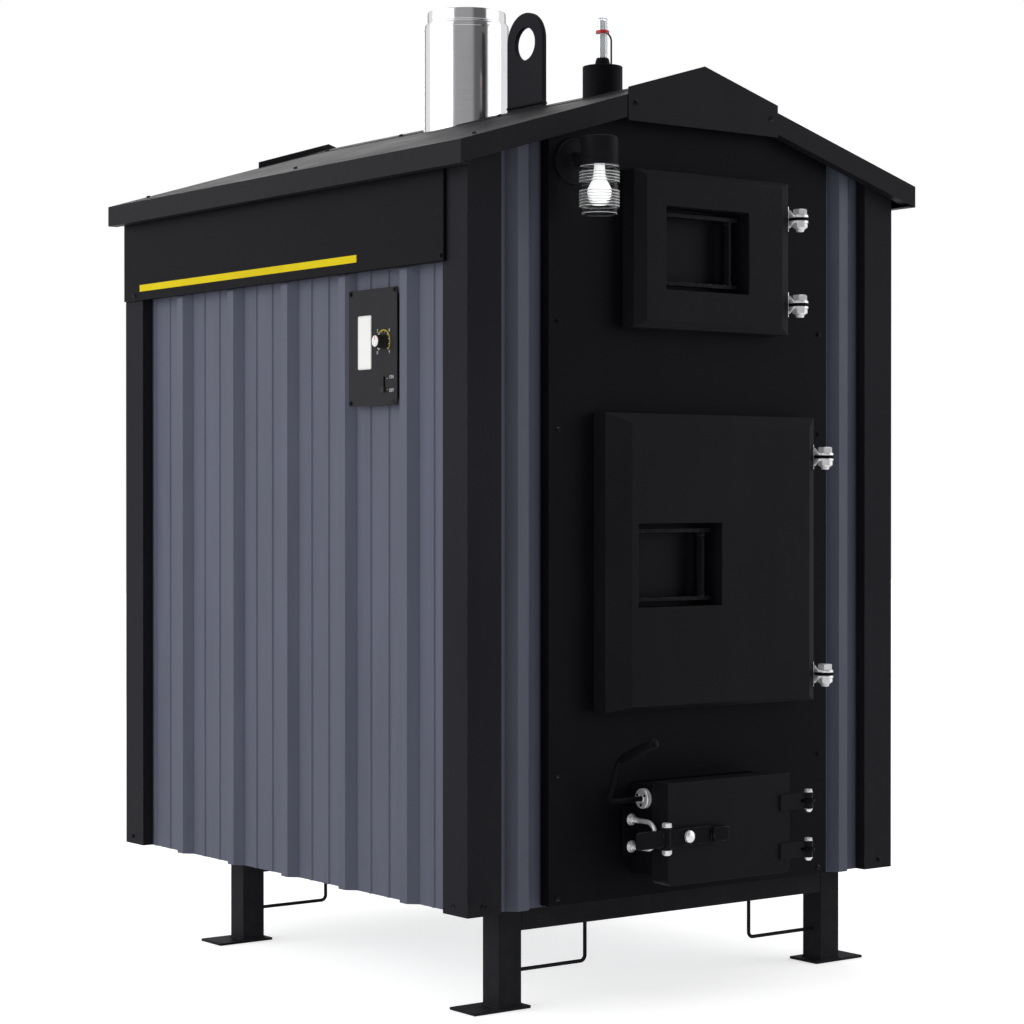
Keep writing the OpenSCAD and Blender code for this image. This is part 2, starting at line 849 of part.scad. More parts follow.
ctrl_x = -(valley_x + rib_h);
ctrl_t = 3;
ctrl_y0 = ctrl_y - ctrl_w / 2;
ctrl_z1 = ctrl_z + ctrl_h;
knob_y = ctrl_y0 + 50;
knob_z = ctrl_z + 133;
switch_y = ctrl_y0 + 47;
switch_z = ctrl_z + 44;

module control_plate() {
    back = -(valley_x + bead_h);
    color("DimGray") at_front() difference() {
        union() {
            box(ctrl_x - ctrl_t, ctrl_x, ctrl_y0, ctrl_y0 + ctrl_w, ctrl_z, ctrl_z1);
            box(ctrl_x - 1, back, ctrl_y0 + 22, ctrl_y0 + ctrl_w - 22, ctrl_z + 14,
                ctrl_z1 - 14);
        }
        box(ctrl_x, back - 3, ctrl_y0 + 25, ctrl_y0 + ctrl_w - 25, ctrl_z + 17,
            ctrl_z1 - 17);
        bar_x(ctrl_x - 10, ctrl_x + 1, knob_y, knob_z, 3.08);
        box(ctrl_x - 10, ctrl_x + 1, switch_y - 3.1, switch_y + 3.1,
            switch_z - switch_travel / 2 - 5.3, switch_z + switch_travel / 2 + 5.3);
    }
}

module control_display() {
    x = ctrl_x - ctrl_t;
    color("White") at_front() box(x - 2, x, ctrl_y0 + 94, ctrl_y0 + 144, ctrl_z + 77,
        ctrl_z + 190);
}

module thermostat_knob() {
    x = ctrl_x - ctrl_t - 0.4;
    color("Black") at_front() {
        bar_x(x - knob_h, x, knob_y, knob_z, knob_d / 2);
        bar_x(x - 1, ctrl_x + 6, knob_y, knob_z, 3);
        box(x - knob_h - 1, x - knob_h + 1, knob_y - 1, knob_y + 1, knob_z,
            knob_z + knob_d / 2 - 1);
    }
}

// The switch is drawn at the lower end of its travel.
module power_switch() {
    x = ctrl_x - ctrl_t - 0.4;
    z = switch_z - switch_travel / 2;
    color("Black") at_front() {
        box(x - 7, x, switch_y - 7, switch_y + 7, z - 5, z + 5);
        box(x - 1, ctrl_x + 4, switch_y - 3, switch_y + 3, z - 5, z + 5);
    }
}

// The outline of the water jacket, taken in by t.
module jacket_outline(t) {
    w = jacket_w / 2 - t;
    c = crown_w / 2 - t * 0.4;
    polygon([[-w, floor_z + t], [w, floor_z + t], [w, shoulder_z - t * 0.4],
        [c, crown_z - t], [-c, crown_z - t], [-w, shoulder_z - t * 0.4]]);
}

// The hole for a door's neck through the jacket's front plate.
module neck_hole(d) {
    g = neck_inset - neck_t - 0.2;
    box(d[0] + g, d[1] - g, jacket_y - 1, jacket_y + plate_t + 1, d[2] + g, d[3] - g);
}

// The jacket is a front plate with the door openings, welded to the shell behind it.
module water_jacket() {
    seam_y = jacket_y + plate_t;
    y1 = jacket_y + jacket_d;
    color("SaddleBrown") at_front() {
        difference() {
            xz(jacket_y, seam_y) jacket_outline(0);
            neck_hole(fire);
            neck_hole(clean);
            box(ash_x - ash_half + neck_t, ash_x + ash_half - neck_t, jacket_y - 1,
                seam_y + 1, ash_neck_z + neck_t, ash_neck_top - neck_t);
        }
        difference() {
            xz(seam_y + weld_gap, y1) jacket_outline(0);
            xz(seam_y - 1, y1 - plate_t) jacket_outline(plate_t);
            post(0, chimney_y, crown_z - 20, crown_z + 1, flue_d / 2);
            post(0, vent_y, crown_z - 20, crown_z + 1, vent_d / 2 - vent_wall);
            for (p = ports) bar_y(p[0] * rib_pitch, y1 - 20, y1 + 1, p[1], port_r - 8);
        }
    }
}

module insulation() {
    x0 = jacket_w / 2;
    x1 = inner_x - foam_gap;
    y1 = jacket_y + jacket_d;
    color("Khaki") at_front() difference() {
        union() {
            both_sides() box(x0, x1, jacket_y + 20, y1 - 20, floor_z, shoulder_z - 20);
            box(-x0 + 40, x0 - 40, y1, body_d - inner_y - 14, floor_z, shoulder_z - 20);
        }
        for (p = ports) bar_y(p[0] * rib_pitch, y1 - 5, body_d, p[1], port_r + 3);
    }
}

module firebox() {
    y0 = firebox_y;
    y1 = firebox_y + firebox_d;
    t = fire_plate;
    pit_y = jacket_y + plate_t;
    g = neck_inset;
    color("Sienna") at_front() {
        difference() {
            box(fire_left, fire_right, y0, y1, firebox_z, firebox_top);
            box(fire_left + t, fire_right - t, y0 + t, y1 - t, firebox_z + t,
                firebox_top - t);
            box(fire[0] + g, fire[1] - g, y0 - 1, y0 + t + 1, fire[2] + g, fire[3] - g);
            box(pit_left + 30, pit_right - 30, y0 + 60, pit_end - 60, firebox_z - 1,
                firebox_z + t + 1);
            box(chamber_left + shell_t, chamber_right - shell_t, smoke_y + shell_t,
                y1 - t - 2, firebox_top - t - 1, firebox_top + 1);
        }
        difference() {
            box(pit_left, pit_right, pit_y, pit_end, ash_neck_z, firebox_z - weld_gap);
            box(pit_left + shell_t, pit_right - shell_t, pit_y - 1, pit_end - shell_t,
                ash_neck_z + shell_t, firebox_z + 2);
        }
        for (x = [pit_left + shell_t - 1, pit_right - 30]) box(x, x + 31 - shell_t,
            y0, pit_end - 1, grate_z - 6 - ledge_gap, grate_z - ledge_gap);
        for (y = [y0 + 90, pit_end - 110]) box(pit_left + 20, pit_right - 20, y, y + 20,
            floor_z + plate_t, ash_neck_z + 1);
    }
}

// The flue duct's plan, taken in by t.
module duct_plan(t) {
    w = duct_w - 2 * t;
    y0 = firebox_y + 4 + t;
    y1 = chimney_y + flue_half - t;
    f = chimney_y - flue_half + t;
    translate([duct_x + t, y0]) square([w, y1 - y0]);
    translate([duct_x - duct_w + t, f]) square([w + duct_w, y1 - f]);
}

// Front smoke chamber, fire tubes, rear smoke box, and the duct to the chimney.
module heat_exchanger() {
    s = shell_t;
    y0 = firebox_y;
    sheet = y0 + 96;
    y1 = firebox_y + firebox_d - 2;
    mid_x = (chamber_left + chamber_right) / 2;
    mid_z = (chamber_z + chamber_top) / 2;
    rise = crown_low - chamber_top;
    color("Sienna") at_front() difference() {
        union() {
            box(chamber_left, chamber_right, y0, sheet, chamber_z, chamber_top);
            box(chamber_left, chamber_right, smoke_y, y1, firebox_top, chamber_top);
            xy(chamber_top - 0.01, crown_low) duct_plan(0);
            for (i = [0:tubes_across - 1], j = [0:tube_rows - 1]) bar_y(
                mid_x + (i - (tubes_across - 1) / 2) * tube_pitch, sheet - 1, smoke_y + 1,
                mid_z + (j - (tube_rows - 1) / 2) * tube_pitch, tube_d / 2);
        }
        box(chamber_left + s, chamber_right - s, y0 - 1, sheet - s, chamber_z + s,
            chamber_top - s);
        box(chamber_left + s, chamber_right - s, smoke_y + s, y1 - s, firebox_top - 1,
            chamber_top - s);
        xy(chamber_top + duct_t, crown_low + 1) duct_plan(duct_t);
        box(duct_x + 12, duct_x + duct_w - 12, y0 + 14, sheet - 14, chamber_top - s - 1, chamber_top + duct_t + 1);
        for (i = [0:tubes_across - 1], j = [0:tube_rows - 1]) bar_y(
            mid_x + (i - (tubes_across - 1) / 2) * tube_pitch, sheet - 20, smoke_y + 20,
            mid_z + (j - (tube_rows - 1) / 2) * tube_pitch, tube_d / 2 - fire_tube_wall);
    }
}

// A slotted grate that slides on ledges, with a link forward to the shaker.
module shaker_grate() {
    x0 = pit_left + shell_t + 4;
    x1 = pit_right - shell_t - 4;
    y0 = firebox_y + 95;
    y1 = pit_end - 60;
    bars = 8;
    step = (y1 - y0 - 30) / bars;
    slot = 34;
    color("DarkGray") at_front() {
        difference() {
            box(x0, x1, y0, y1, grate_z, grate_z + 14);
            for (i = [0:bars - 1]) box(x0 + 34, x1 - 34, y0 + 30 + i * step,
                y0 + 30 + i * step + slot, grate_z - 1, grate_z + 15);
        }
        box(link_x - 6, link_x + 6, y0, y0 + 28, 350, grate_z + 1);
        difference() {
            box(link_x - 6, link_x + 6, shaft_y - 14, y0 + 27, 350, 378);
            box(link_x - 7, link_x + 7, shaft_y - 6.5, shaft_y + 6.5, 354, 374);
        }
    }
}

module ash_pan() {
    x = 140;
    y0 = ash_neck_y + 10;
    y1 = pit_end - 70;
    z = ash_neck_z + neck_t;
    color("DimGray") at_front() translate([ash_x, 0, 0]) difference() {
        union() {
            box(-x, x, y0, y1, z, z + 66);
            box(-40, 40, y0 - 4, y0 + 1, z + 44, z + 56);
        }
        box(-x + 3, x - 3, y0 + 3, y1 - 3, z + 3, z + 67);
    }
}

module hinge_ear(d, z) {
    bx = d[1] + bolt_out;
    in_x = d[1] - neck_inset + neck_t - 1;
    xy(z - ear_t / 2, z + ear_t / 2) {
        translate([bx, hinge_y]) circle(r = ear_r);
        polygon([[bx - ear_r, hinge_y], [bx + ear_r, hinge_y], [bx + ear_r, jacket_y],
            [in_x, jacket_y], [in_x, 14], [bx - ear_r, 14]]);
    }
}

// A door's neck through the jacket, with the two ears its hinges turn on.
module door_frame(d) {
    g = neck_inset;
    o = neck_inset - neck_t;
    difference() {
        union() {
            box(d[0] + o, d[1] - o, neck_y, firebox_y, d[2] + o, d[3] - o);
            for (i = [9, 10]) hinge_ear(d, d[i]);
        }
        box(d[0] + g, d[1] - g, neck_y - 1, firebox_y + 1, d[2] + g, d[3] - g);
        for (i = [9, 10]) post(d[1] + bolt_out, hinge_y, d[i] - 20, d[i] + 20,
            bolt_d / 2 + 0.05);
    }
}

// A box with a bevelled front: outline a, bevels b (left, right, top, bottom).
module bevel_box(a, b, back, rim, face) {
    intersection() {
        xy(a[2], a[3]) polygon([[a[0], back], [a[0], rim], [a[0] + b[0], face],
            [a[1] - b[1], face], [a[1], rim], [a[1], back]]);
        yz(a[0], a[1]) polygon([[back, a[2]], [rim, a[2]], [face, a[2] + b[3]],
            [face, a[3] - b[2]], [rim, a[3]], [back, a[3]]]);
    }
}

function pocket_mid(d) = (d[2] + d[3]) / 2 + d[8];

module pocket(d, w, deep) {
    x = d[0] + pocket_x;
    z = pocket_mid(d);
    box(x - w, x + pocket_w + w, face_y - 1 + min(w, 1), face_y + deep,
        z - pocket_h / 2 - w, z + pocket_h / 2 + w);
}

module door_shell(d) {
    t = door_t;
    b = [d[4], d[5], d[6], d[7]];
    difference() {
        union() {
            difference() {
                bevel_box([d[0], d[1], d[2], d[3]], b, -door_gap, rim_y, face_y);
                bevel_box([d[0] + t, d[1] - t, d[2] + t, d[3] - t], b, 1, rim_y + 2,
                    face_y + t);
            }
            pocket(d, pocket_wall, pocket_depth + pocket_wall);
        }
        pocket(d, 0, pocket_depth);
    }
    post(d[0] + pocket_x + pivot_in, handle_y, pocket_mid(d) - pocket_h / 2 - 1,
        pocket_mid(d) + pocket_h / 2 + 1, pivot_d / 2);
}

module door_liner(d) {
    t = door_t;
    g = neck_inset + plug_gap;
    i = g + liner_t;
    difference() {
        union() {
            box(d[0] + t, d[1] - t, seal_y - 4, seal_y, d[2] + t, d[3] - t);
            box(d[0] + g, d[1] - g, seal_y - 1, plug_back, d[2] + g, d[3] - g);
        }
        box(d[0] + i, d[1] - i, seal_y - 10, plug_back - liner_t, d[2] + i, d[3] - i);
    }
}

module door_gasket(d) {
    o = neck_inset - neck_t / 2 - rope / 2;
    i = o + rope;
    difference() {
        box(d[0] + o, d[1] - o, seal_y, seal_y + rope, d[2] + o, d[3] - o);
        box(d[0] + i, d[1] - i, seal_y - 1, seal_y + rope + 1, d[2] + i, d[3] - i);
    }
}

// Two flat arms on the pivot pin, joined by an upright grip.
module door_handle(d) {
    px = d[0] + pocket_x + pivot_in;
    z = pocket_mid(d);
    r = arm_depth / 2 + 2;
    difference() {
        union() {
            for (s = [-1, 1]) {
                low = z + s * (handle_h / 2 - arm_t / 2) - arm_t / 2;
                post(px, handle_y, low, low + arm_t, r);
                box(px, px + grip_reach + 28, handle_y - arm_depth / 2,
                    handle_y + arm_depth / 2, low, low + arm_t);
            }
            post(px + grip_reach, handle_y, z - handle_h / 2 + 1, z + handle_h / 2 - 1,
                grip_d / 2);
        }
        post(px, handle_y, z - handle_h, z + handle_h, pivot_d / 2 + hinge_clear);
    }
}

module strap_plan(d) {
    bx = d[1] + bolt_out;
    r = ear_r - 1;
    translate([bx, hinge_y]) circle(r = r);
    polygon([[d[1] + base_t - 1, -8], [d[1] + base_t - 1, -38],
        [bx - r * 0.72, hinge_y - r * 0.69], [bx + r * 0.72, hinge_y + r * 0.69]]);
}

// A base plate on the door's edge, with straps above and below the frame's ear.
module door_hinges(d) {
    bx = d[1] + bolt_out;
    x0 = d[1] + base_t - 1;
    low = ear_t / 2 + strap_gap;
    knee = bx - ear_r;
    for (i = [9, 10]) {
        z = d[i];
        box(d[1], d[1] + base_t, -38, -6, z - 27, z + 27);
        difference() {
            intersection() {
                xy(z - 40, z + 40) strap_plan(d);
                for (s = [-1, 1]) xz(-100, 10) polygon([[bx + 30, z + s * low],
                    [bx + 30, z + s * stack_z], [knee, z + s * stack_z],
                    [x0 + 2, z + s * (stack_z + 11)], [x0, z + s * (stack_z + 11)],
                    [x0, z + s * (low + 10)], [x0 + 2, z + s * (low + 10)],
                    [knee, z + s * low]]);
            }
            post(bx, hinge_y, z - 40, z + 40, bolt_d / 2 + hinge_clear);
        }
    }
}

module fire_door_frame() {
    color("Black") at_front() door_frame(fire);
}

module cleanout_door_frame() {
    color("Black") at_front() door_frame(clean);
}

module fire_door() {
    color("Black") at_front() door_shell(fire);
}

module cleanout_door() {
    color("Black") at_front() door_shell(clean);
}

module fire_door_liner() {
    color("DimGray") at_front() door_liner(fire);
}

module cleanout_door_liner() {
    color("DimGray") at_front() door_liner(clean);
}

module fire_door_gasket() {
    color("White") at_front() door_gasket(fire);
}

module cleanout_door_gasket() {
    color("White") at_front() door_gasket(clean);
}

module fire_door_handle() {
    color("Silver") at_front() door_handle(fire);
}

module cleanout_door_handle() {
    color("Silver") at_front() door_handle(clean);
}

module fire_door_hinges() {
    color("Silver") at_front() door_hinges(fire);
}

module cleanout_door_hinges() {
    color("Silver") at_front() door_hinges(clean);
}

module ash_ear(z) {
    x1 = ash_x + ash_half;
    xy(z - 3, z + 3) {
        translate([ash_bolt_x, ash_bolt_y]) circle(r = 14);
        polygon([[x1 - 1, -10], [x1 - 1, -56], [ash_bolt_x - 12, ash_bolt_y + 7],
            [ash_bolt_x + 14, ash_bolt_y], [ash_bolt_x + 31, ash_bolt_y + 22],
            [x1 + 40, -10]]);
    }
}

// The ash opening's neck, with a seat for the gasket, two hinge ears and the keeper tab.
module ash_neck() {
    x0 = ash_x - ash_half;
    x1 = ash_x + ash_half;
    t = neck_t;
    w = lip_w;
    tab_x = ubolt_x - 20;
    color("Black") at_front() difference() {
        union() {
            difference() {
                box(x0, x1, ash_neck_y, jacket_y, ash_neck_z, ash_neck_top);
                box(x0 + t, x1 - t, ash_neck_y + 4, jacket_y + 1, ash_neck_z + t,
                    ash_neck_top - t);
                box(x0 + w, x1 - w, ash_neck_y - 1, ash_neck_y + 5, ash_neck_z + w,
                    ash_neck_top - w);
            }
            for (z = ash_hinges) ash_ear(z);
            box(tab_x, x0 + 1, tab_y, tab_y + tab_t, lever_z - 48, lever_z + 54);
        }
        for (z = ash_hinges) post(ash_bolt_x, ash_bolt_y, z - 9, z + 9, ash_bolt_d / 2 + 0.05);
        for (s = [-1, 1]) bar_y(ubolt_x, tab_y - 5, tab_y + tab_t + 5,
            lever_z + s * ubolt_gap / 2, ubolt_d / 2 + 0.05);
        bar_x(x0 - 1, x0 + t + 1, shaft_y, shaft_z, crank_d / 2 + 0.08);
    }
}

// The ash door's outline with round lower corners, taken in by t.
module ash_outline(t) {
    r = 12 - t;
    x0 = ash_x - ash_half + t;
    x1 = ash_x + ash_half - t;
    z0 = ash_z + t;
    translate([x0, z0 + r]) square([x1 - x0, ash_h - 2 * t - r]);
    translate([x0 + r, z0]) square([x1 - x0 - 2 * r, r + 1]);
    for (x = [x0 + r, x1 - r]) translate([x, z0 + r]) circle(r = r);
}

module lever_ear(z) {
    x0 = ash_x - ash_half;
    xy(z, z + 5) {
        translate([lever_x, lever_y]) circle(r = 12);
        polygon([[x0 + 1, ash_face + 14], [x0 + 1, ash_face + 1], [x0 + 14, ash_face + 1],
            [x0 + 14, ash_face - 3], [lever_x + 4, lever_y - 11.3],
            [lever_x - 11.3, lever_y + 4]]);
    }
}

module ash_door() {
    t = ash_wall;
    rib_y = ash_rim_y - 18;
    ring = 34;
    gap = lever_h / 2 + 0.5;
    pin = ash_bolt_d / 2;
    leaf_x = ash_bolt_x - 81;
    color("Black") at_front() {
        difference() {
            xz(ash_face, ash_rim_y) ash_outline(0);
            xz(ash_face + t, ash_rim_y + 1) ash_outline(t);
        }
        difference() {
            xz(rib_y, rib_y + 4) ash_outline(t - 1);
            box(ash_x - ash_half + ring, ash_x + ash_half - ring, rib_y - 1, rib_y + 5,
                ash_neck_z + lip_w - 8, ash_z + ash_h - ring);
        }
        lever_ear(lever_z + gap);
        lever_ear(lever_z - gap - 5);
        post(lever_x, lever_y, lever_z - gap - 12, lever_z + gap + 12, pin);
        translate([lever_x, lever_y, lever_z + gap + 5]) cylinder(r = 9, h = 7, $fn = 6);
        translate([lever_x, lever_y, lever_z - gap - 13]) cylinder(r = 9, h = 8, $fn = 6);
        difference() {
            union() for (z = ash_hinges, s = [-1, 1]) {
                low = s > 0 ? z + 3.4 : z - 17;
                post(ash_bolt_x, ash_bolt_y, low, low + 13.6, 10);
                box(ash_bolt_x - 24, ash_bolt_x, ash_face - 5, ash_face, low, low + 13.6);
                box(leaf_x, ash_bolt_x - 23, ash_face - 5, ash_face, z - 17, z + 17);
            }
            for (z = ash_hinges) post(ash_bolt_x, ash_bolt_y, z - 20, z + 20,
                pin + hinge_clear);
        }
    }
}

module ash_door_gasket() {
    o = ash_wall + 1;
    i = o + rope;
    y0 = ash_rim_y - 14;
    y1 = ash_neck_y - 0.4;
    x0 = ash_x - ash_half;
    x1 = ash_x + ash_half;
    color("White") at_front() difference() {
        box(x0 + o, x1 - o, y0, y1, ash_neck_z + o, ash_neck_top - o);
        box(x0 + i, x1 - i, y0 - 1, y1 + 1, ash_neck_z + i, ash_neck_top - i);
    }
}

// A flat strap turning on the bolt at the ash door's edge, with a thicker finger end.
module ash_latch_lever() {
    z0 = lever_z - lever_h / 2;
    z1 = lever_z + lever_h / 2;
    y0 = lever_y - lever_t / 2;
    color("Silver") at_front() difference() {
        union() {
            box(lever_x - lever_tail, lever_x + lever_len - 42, y0, y0 + lever_t, z0, z1);
            box(lever_x + lever_len - 43, lever_x + lever_len, y0 - 8, y0 + lever_t,
                z0 + 3, z1 - 3);
            post(lever_x, lever_y, z0, z1, 10);
            bar_y(lever_x + 60, y0 - 8, y0 + 1, lever_z, 13);
        }
        post(lever_x, lever_y, z0 - 1, z1 + 1, ash_bolt_d / 2 + hinge_clear);
    }
}

module ash_u_bolt() {
    r = ubolt_gap / 2;
    end = tab_y + tab_t + 10;
    bend = tab_y - ubolt_len + r + ubolt_d / 2;
    color("Silver") at_front() {
        for (s = [-1, 1]) {
            bar_y(ubolt_x, bend, end, lever_z + s * r, ubolt_d / 2);
            for (y = [tab_y, end - 1.5]) translate([ubolt_x, y, lever_z + s * r])
                rotate([90, 0, 0]) cylinder(r = 11, h = 8.5, $fn = 6);
        }
        translate([ubolt_x, bend, lever_z]) rotate([0, 90, 0]) rotate([0, 0, 180])
            rotate_extrude(angle = 180) translate([r, 0]) circle(d = ubolt_d);
    }
}

module shaker_hub() {
    x0 = ash_x - ash_half;
    color("Silver") at_front() difference() {
        bar_x(x0 - hub_t, x0, shaft_y, shaft_z, hub_r);
        bar_x(x0 - hub_t - 1, x0 + 1, shaft_y, shaft_z, crank_d / 2 + 0.08);
        for (a = [30, 150, 270]) bar_x(x0 - hub_t - 1, x0 + 1,
            shaft_y + 13.5 * cos(a), shaft_z + 13.5 * sin(a), 3);
    }
}

// A shaft with an arm and pin inside the neck, and a bent rod with a tapered grip outside.
module shaker_crank() {
    x = ash_x - ash_half - crank_out;
    r = crank_d / 2;
    top_y = shaft_y - crank_lean;
    top_z = shaft_z + crank_rise;
    lean = atan(crank_lean / crank_rise);
    arm = sqrt(crank_lean * crank_lean + crank_rise * crank_rise);
    color("Silver") at_front() {
        bar_x(x, arm_x, shaft_y, shaft_z, r);
        translate([x, shaft_y, shaft_z]) sphere(r = r + 0.7);
        translate([x, shaft_y, shaft_z]) rotate([lean, 0, 0]) cylinder(r = r, h = arm);
        translate([x, top_y, top_z]) sphere(r = r + 0.7);
        translate([x, top_y, top_z]) rotate([90 - grip_tilt, 0, 0]) {
            cylinder(r = r, h = 20);
            translate([0, 0, 12]) cylinder(r1 = r + 2, r2 = crank_grip_d / 2, h = 14);
            translate([0, 0, 25.5]) cylinder(r = crank_grip_d / 2, h = crank_grip - 15.5);
        }
        box(arm_x - 4, arm_x + 4, shaft_y - 8, shaft_y + 8, shaft_z - arm_r - 8,
            shaft_z + 8);
        bar_x(arm_x + 3, link_x + 9, shaft_y, shaft_z - arm_r, 5);
    }
}

module hinge_bolt(x, y, z, r, head, reach) {
    post(x, y, z - reach - 2, z + reach + 2, r);
    translate([x, y, z + reach]) rotate([0, 0, 30]) cylinder(r = head, h = r * 1.35, $fn = 6);
    translate([x, y, z - reach - r * 1.45]) rotate([0, 0, 30])
        cylinder(r = head, h = r * 1.45, $fn = 6);
}

module hinge_bolts() {
    color("Silver") at_front() {
        for (d = [fire, clean], i = [9, 10]) {
            x = d[1] + bolt_out;
            hinge_bolt(x, hinge_y, d[i], bolt_d / 2, bolt_d * 0.87, stack_z + strap_gap);
            post(x, hinge_y, d[i] - stack_z - 19, d[i] - stack_z - 10, bolt_d * 0.55);
        }
        for (z = ash_hinges) hinge_bolt(ash_bolt_x, ash_bolt_y, z, ash_bolt_d / 2, 9, 17.5);
    }
}

module screw_head() {
    cylinder(r = 5.5, h = 4, $fn = 6);
}

module panel_screws() {
    color("Silver") at_front() both_sides() {
        for (z = [226, 478, 1185, 1407]) translate([panel_w / 2 - 24, 0, z])
            rotate([90, 0, 0]) screw_head();
        translate([half_w - 40, 0, 228]) rotate([90, 0, 0]) screw_head();
        for (y = [49, body_d - 34]) translate([half_w, y, 226]) rotate([0, 90, 0])
            screw_head();
        for (y = [header_start + 10, body_d - 59]) translate([half_w + header_t, y,
            header_z + 12]) rotate([0, 90, 0]) screw_head();
        for (y = [30, body_d / 2 - 6, body_d - 42]) translate([half_w - 39, y, roof_at(half_w - 39)])
            rotate([0, roof_angle, 0]) screw_head();
        for (y = [200, 601, 1000, body_d - 83]) translate([cap_half - 12, y,
            roof_at(cap_half - 12) + cap_gap + cap_v]) rotate([0, roof_angle, 0])
                screw_head();
        translate([gable_half - 20, -front_over - gable_t, roof_at(gable_half - 20) - 22])
            rotate([90, 0, 0]) screw_head();
    }
    color("Silver") at_front() for (y = [ctrl_y0 + 8, ctrl_y0 + ctrl_w - 8],
        z = [ctrl_z + 7, ctrl_z1 - 7]) translate([ctrl_x - ctrl_t, y, z])
            rotate([0, -90, 0]) screw_head();
}

module pipe_ports() {
    y0 = jacket_y + jacket_d;
    color("DimGray") at_front() for (p = ports) difference() {
        bar_y(p[0] * rib_pitch, y0, body_d + 8, p[1], port_r);
        bar_y(p[0] * rib_pitch, y0 - 1, body_d + 9, p[1], port_r - 8);
    }
}

leg_front_left();
leg_front_right();
leg_rear_left();
leg_rear_right();
cross_rails();
tie_down_rods();
floor_pan();
corner_trims();
left_siding();
right_siding();
rear_siding();
front_siding();
front_panel();
header_boards();
roof_left();
roof_right();
ridge_cap();
gable_plates();
lifting_lug();
chimney_shell();
chimney_liner();
vent_riser();
vent_cap();
gauge_tube();
float_rod();
light_fixture();
light_jar();
light_bulb();
control_plate();
control_display();
thermostat_knob();
power_switch();
water_jacket();
insulation();
firebox();
heat_exchanger();
shaker_grate();
ash_pan();
fire_door_frame();
fire_door();
fire_door_liner();
fire_door_gasket();
fire_door_handle();
fire_door_hinges();
cleanout_door_frame();
cleanout_door();
cleanout_door_liner();
cleanout_door_gasket();
cleanout_door_handle();
cleanout_door_hinges();
ash_neck();
ash_door();
ash_door_gasket();
ash_latch_lever();
ash_u_bolt();
shaker_hub();
shaker_crank();
hinge_bolts();
panel_screws();
pipe_ports();
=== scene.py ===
import json
import math
import random

import bmesh
import bpy
from mathutils import Matrix, Vector


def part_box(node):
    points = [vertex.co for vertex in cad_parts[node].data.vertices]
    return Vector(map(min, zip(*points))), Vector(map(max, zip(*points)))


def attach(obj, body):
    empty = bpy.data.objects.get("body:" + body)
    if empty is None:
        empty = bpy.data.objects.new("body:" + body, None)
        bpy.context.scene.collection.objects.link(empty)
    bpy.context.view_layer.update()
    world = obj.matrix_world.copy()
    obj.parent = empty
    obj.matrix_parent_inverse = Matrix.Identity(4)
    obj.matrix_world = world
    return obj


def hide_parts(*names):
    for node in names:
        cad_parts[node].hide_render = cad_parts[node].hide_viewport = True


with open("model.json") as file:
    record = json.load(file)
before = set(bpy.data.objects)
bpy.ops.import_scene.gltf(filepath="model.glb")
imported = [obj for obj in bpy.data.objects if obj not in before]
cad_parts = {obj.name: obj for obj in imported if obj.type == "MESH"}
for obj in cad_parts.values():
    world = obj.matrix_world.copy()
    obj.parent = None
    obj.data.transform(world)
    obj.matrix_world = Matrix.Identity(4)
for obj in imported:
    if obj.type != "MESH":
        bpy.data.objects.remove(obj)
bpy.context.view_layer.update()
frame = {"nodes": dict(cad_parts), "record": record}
nodes = frame["nodes"]
bodyOf = {n: b for b, members in frame["record"]["behaviour"]["bodies"].items() for n in members}
slotOf = {s["node"]: s["material_slot"] for s in frame["record"]["subparts"]}
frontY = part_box("front_panel")[0].y  # the plane of the front panel, from which depths are counted
rightward, upward, outward = Vector((1, 0, 0)), Vector((0, 0, 1)), Vector((0, -1, 0))
print("frame loaded:", len(nodes), "nodes")


def at(x, y, z):  # millimetres from the middle, the front panel and the ground, to the scene's metres
    return Vector((x / 1000, frontY + y / 1000, z / 1000))


def boxMm(node):  # a node's box in the same millimetres: x0, x1, y0, y1, z0, z1
    low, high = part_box(node)
    return [v * 1000 for v in (low.x, high.x, low.y - frontY, high.y - frontY, low.z, high.z)]


def middleOf(node):
    x0, x1, y0, y1, z0, z1 = boxMm(node)
    return (x0 + x1) / 2, (y0 + y1) / 2, (z0 + z1) / 2


def link(tree, source, target):
    tree.links.new(source, target)


def addObject(name, data):
    made = bpy.data.objects.new(name, data)
    bpy.context.scene.collection.objects.link(made)
    return made


# camera, at the photograph's angle
view = {
    "place": (-3540, -4048, 1042.6),  # millimetres
    "turn": 37.05,  # degrees from straight ahead towards the right
    "tilt": -0.2935,
    "lens": 88.57,
    "sensor": 36,
    "farthest": 200,
}
cameraData = bpy.data.cameras.new("camera")
cameraData.lens = view["lens"]
cameraData.sensor_width = view["sensor"]
cameraData.clip_end = view["farthest"]
camera = addObject("camera", cameraData)
camera.location = at(*view["place"])
turn, tilt = math.radians(view["turn"]), math.radians(view["tilt"])
look = Vector((math.sin(turn) * math.cos(tilt), math.cos(turn) * math.cos(tilt), math.sin(tilt)))
camera.rotation_euler = look.to_track_quat("-Z", "Y").to_euler()
bpy.context.scene.camera = camera


# shader nodes
def addNode(tree, kind, values=None, **settings):  # a node with its settings and its sockets' values
    node = tree.nodes.new("ShaderNode" + kind)
    for name, value in settings.items():
        setattr(node, name, value)
    for name, value in (values or {}).items():
        if isinstance(value, bpy.types.NodeSocket):
            link(tree, value, node.inputs[name])
        else:
            node.inputs[name].default_value = value
    return node


def mathNode(tree, operation, a, b=0.0, clamp=False):
    return addNode(tree, "Math", {0: a, 1: b}, operation=operation, use_clamp=clamp).outputs[0]


def times(tree, a, b, clamp=False):
    return mathNode(tree, "MULTIPLY", a, b, clamp)


def plus(tree, a, b, clamp=False):
    return mathNode(tree, "ADD", a, b, clamp)


def minus(tree, a, b):
    return mathNode(tree, "SUBTRACT", a, b)


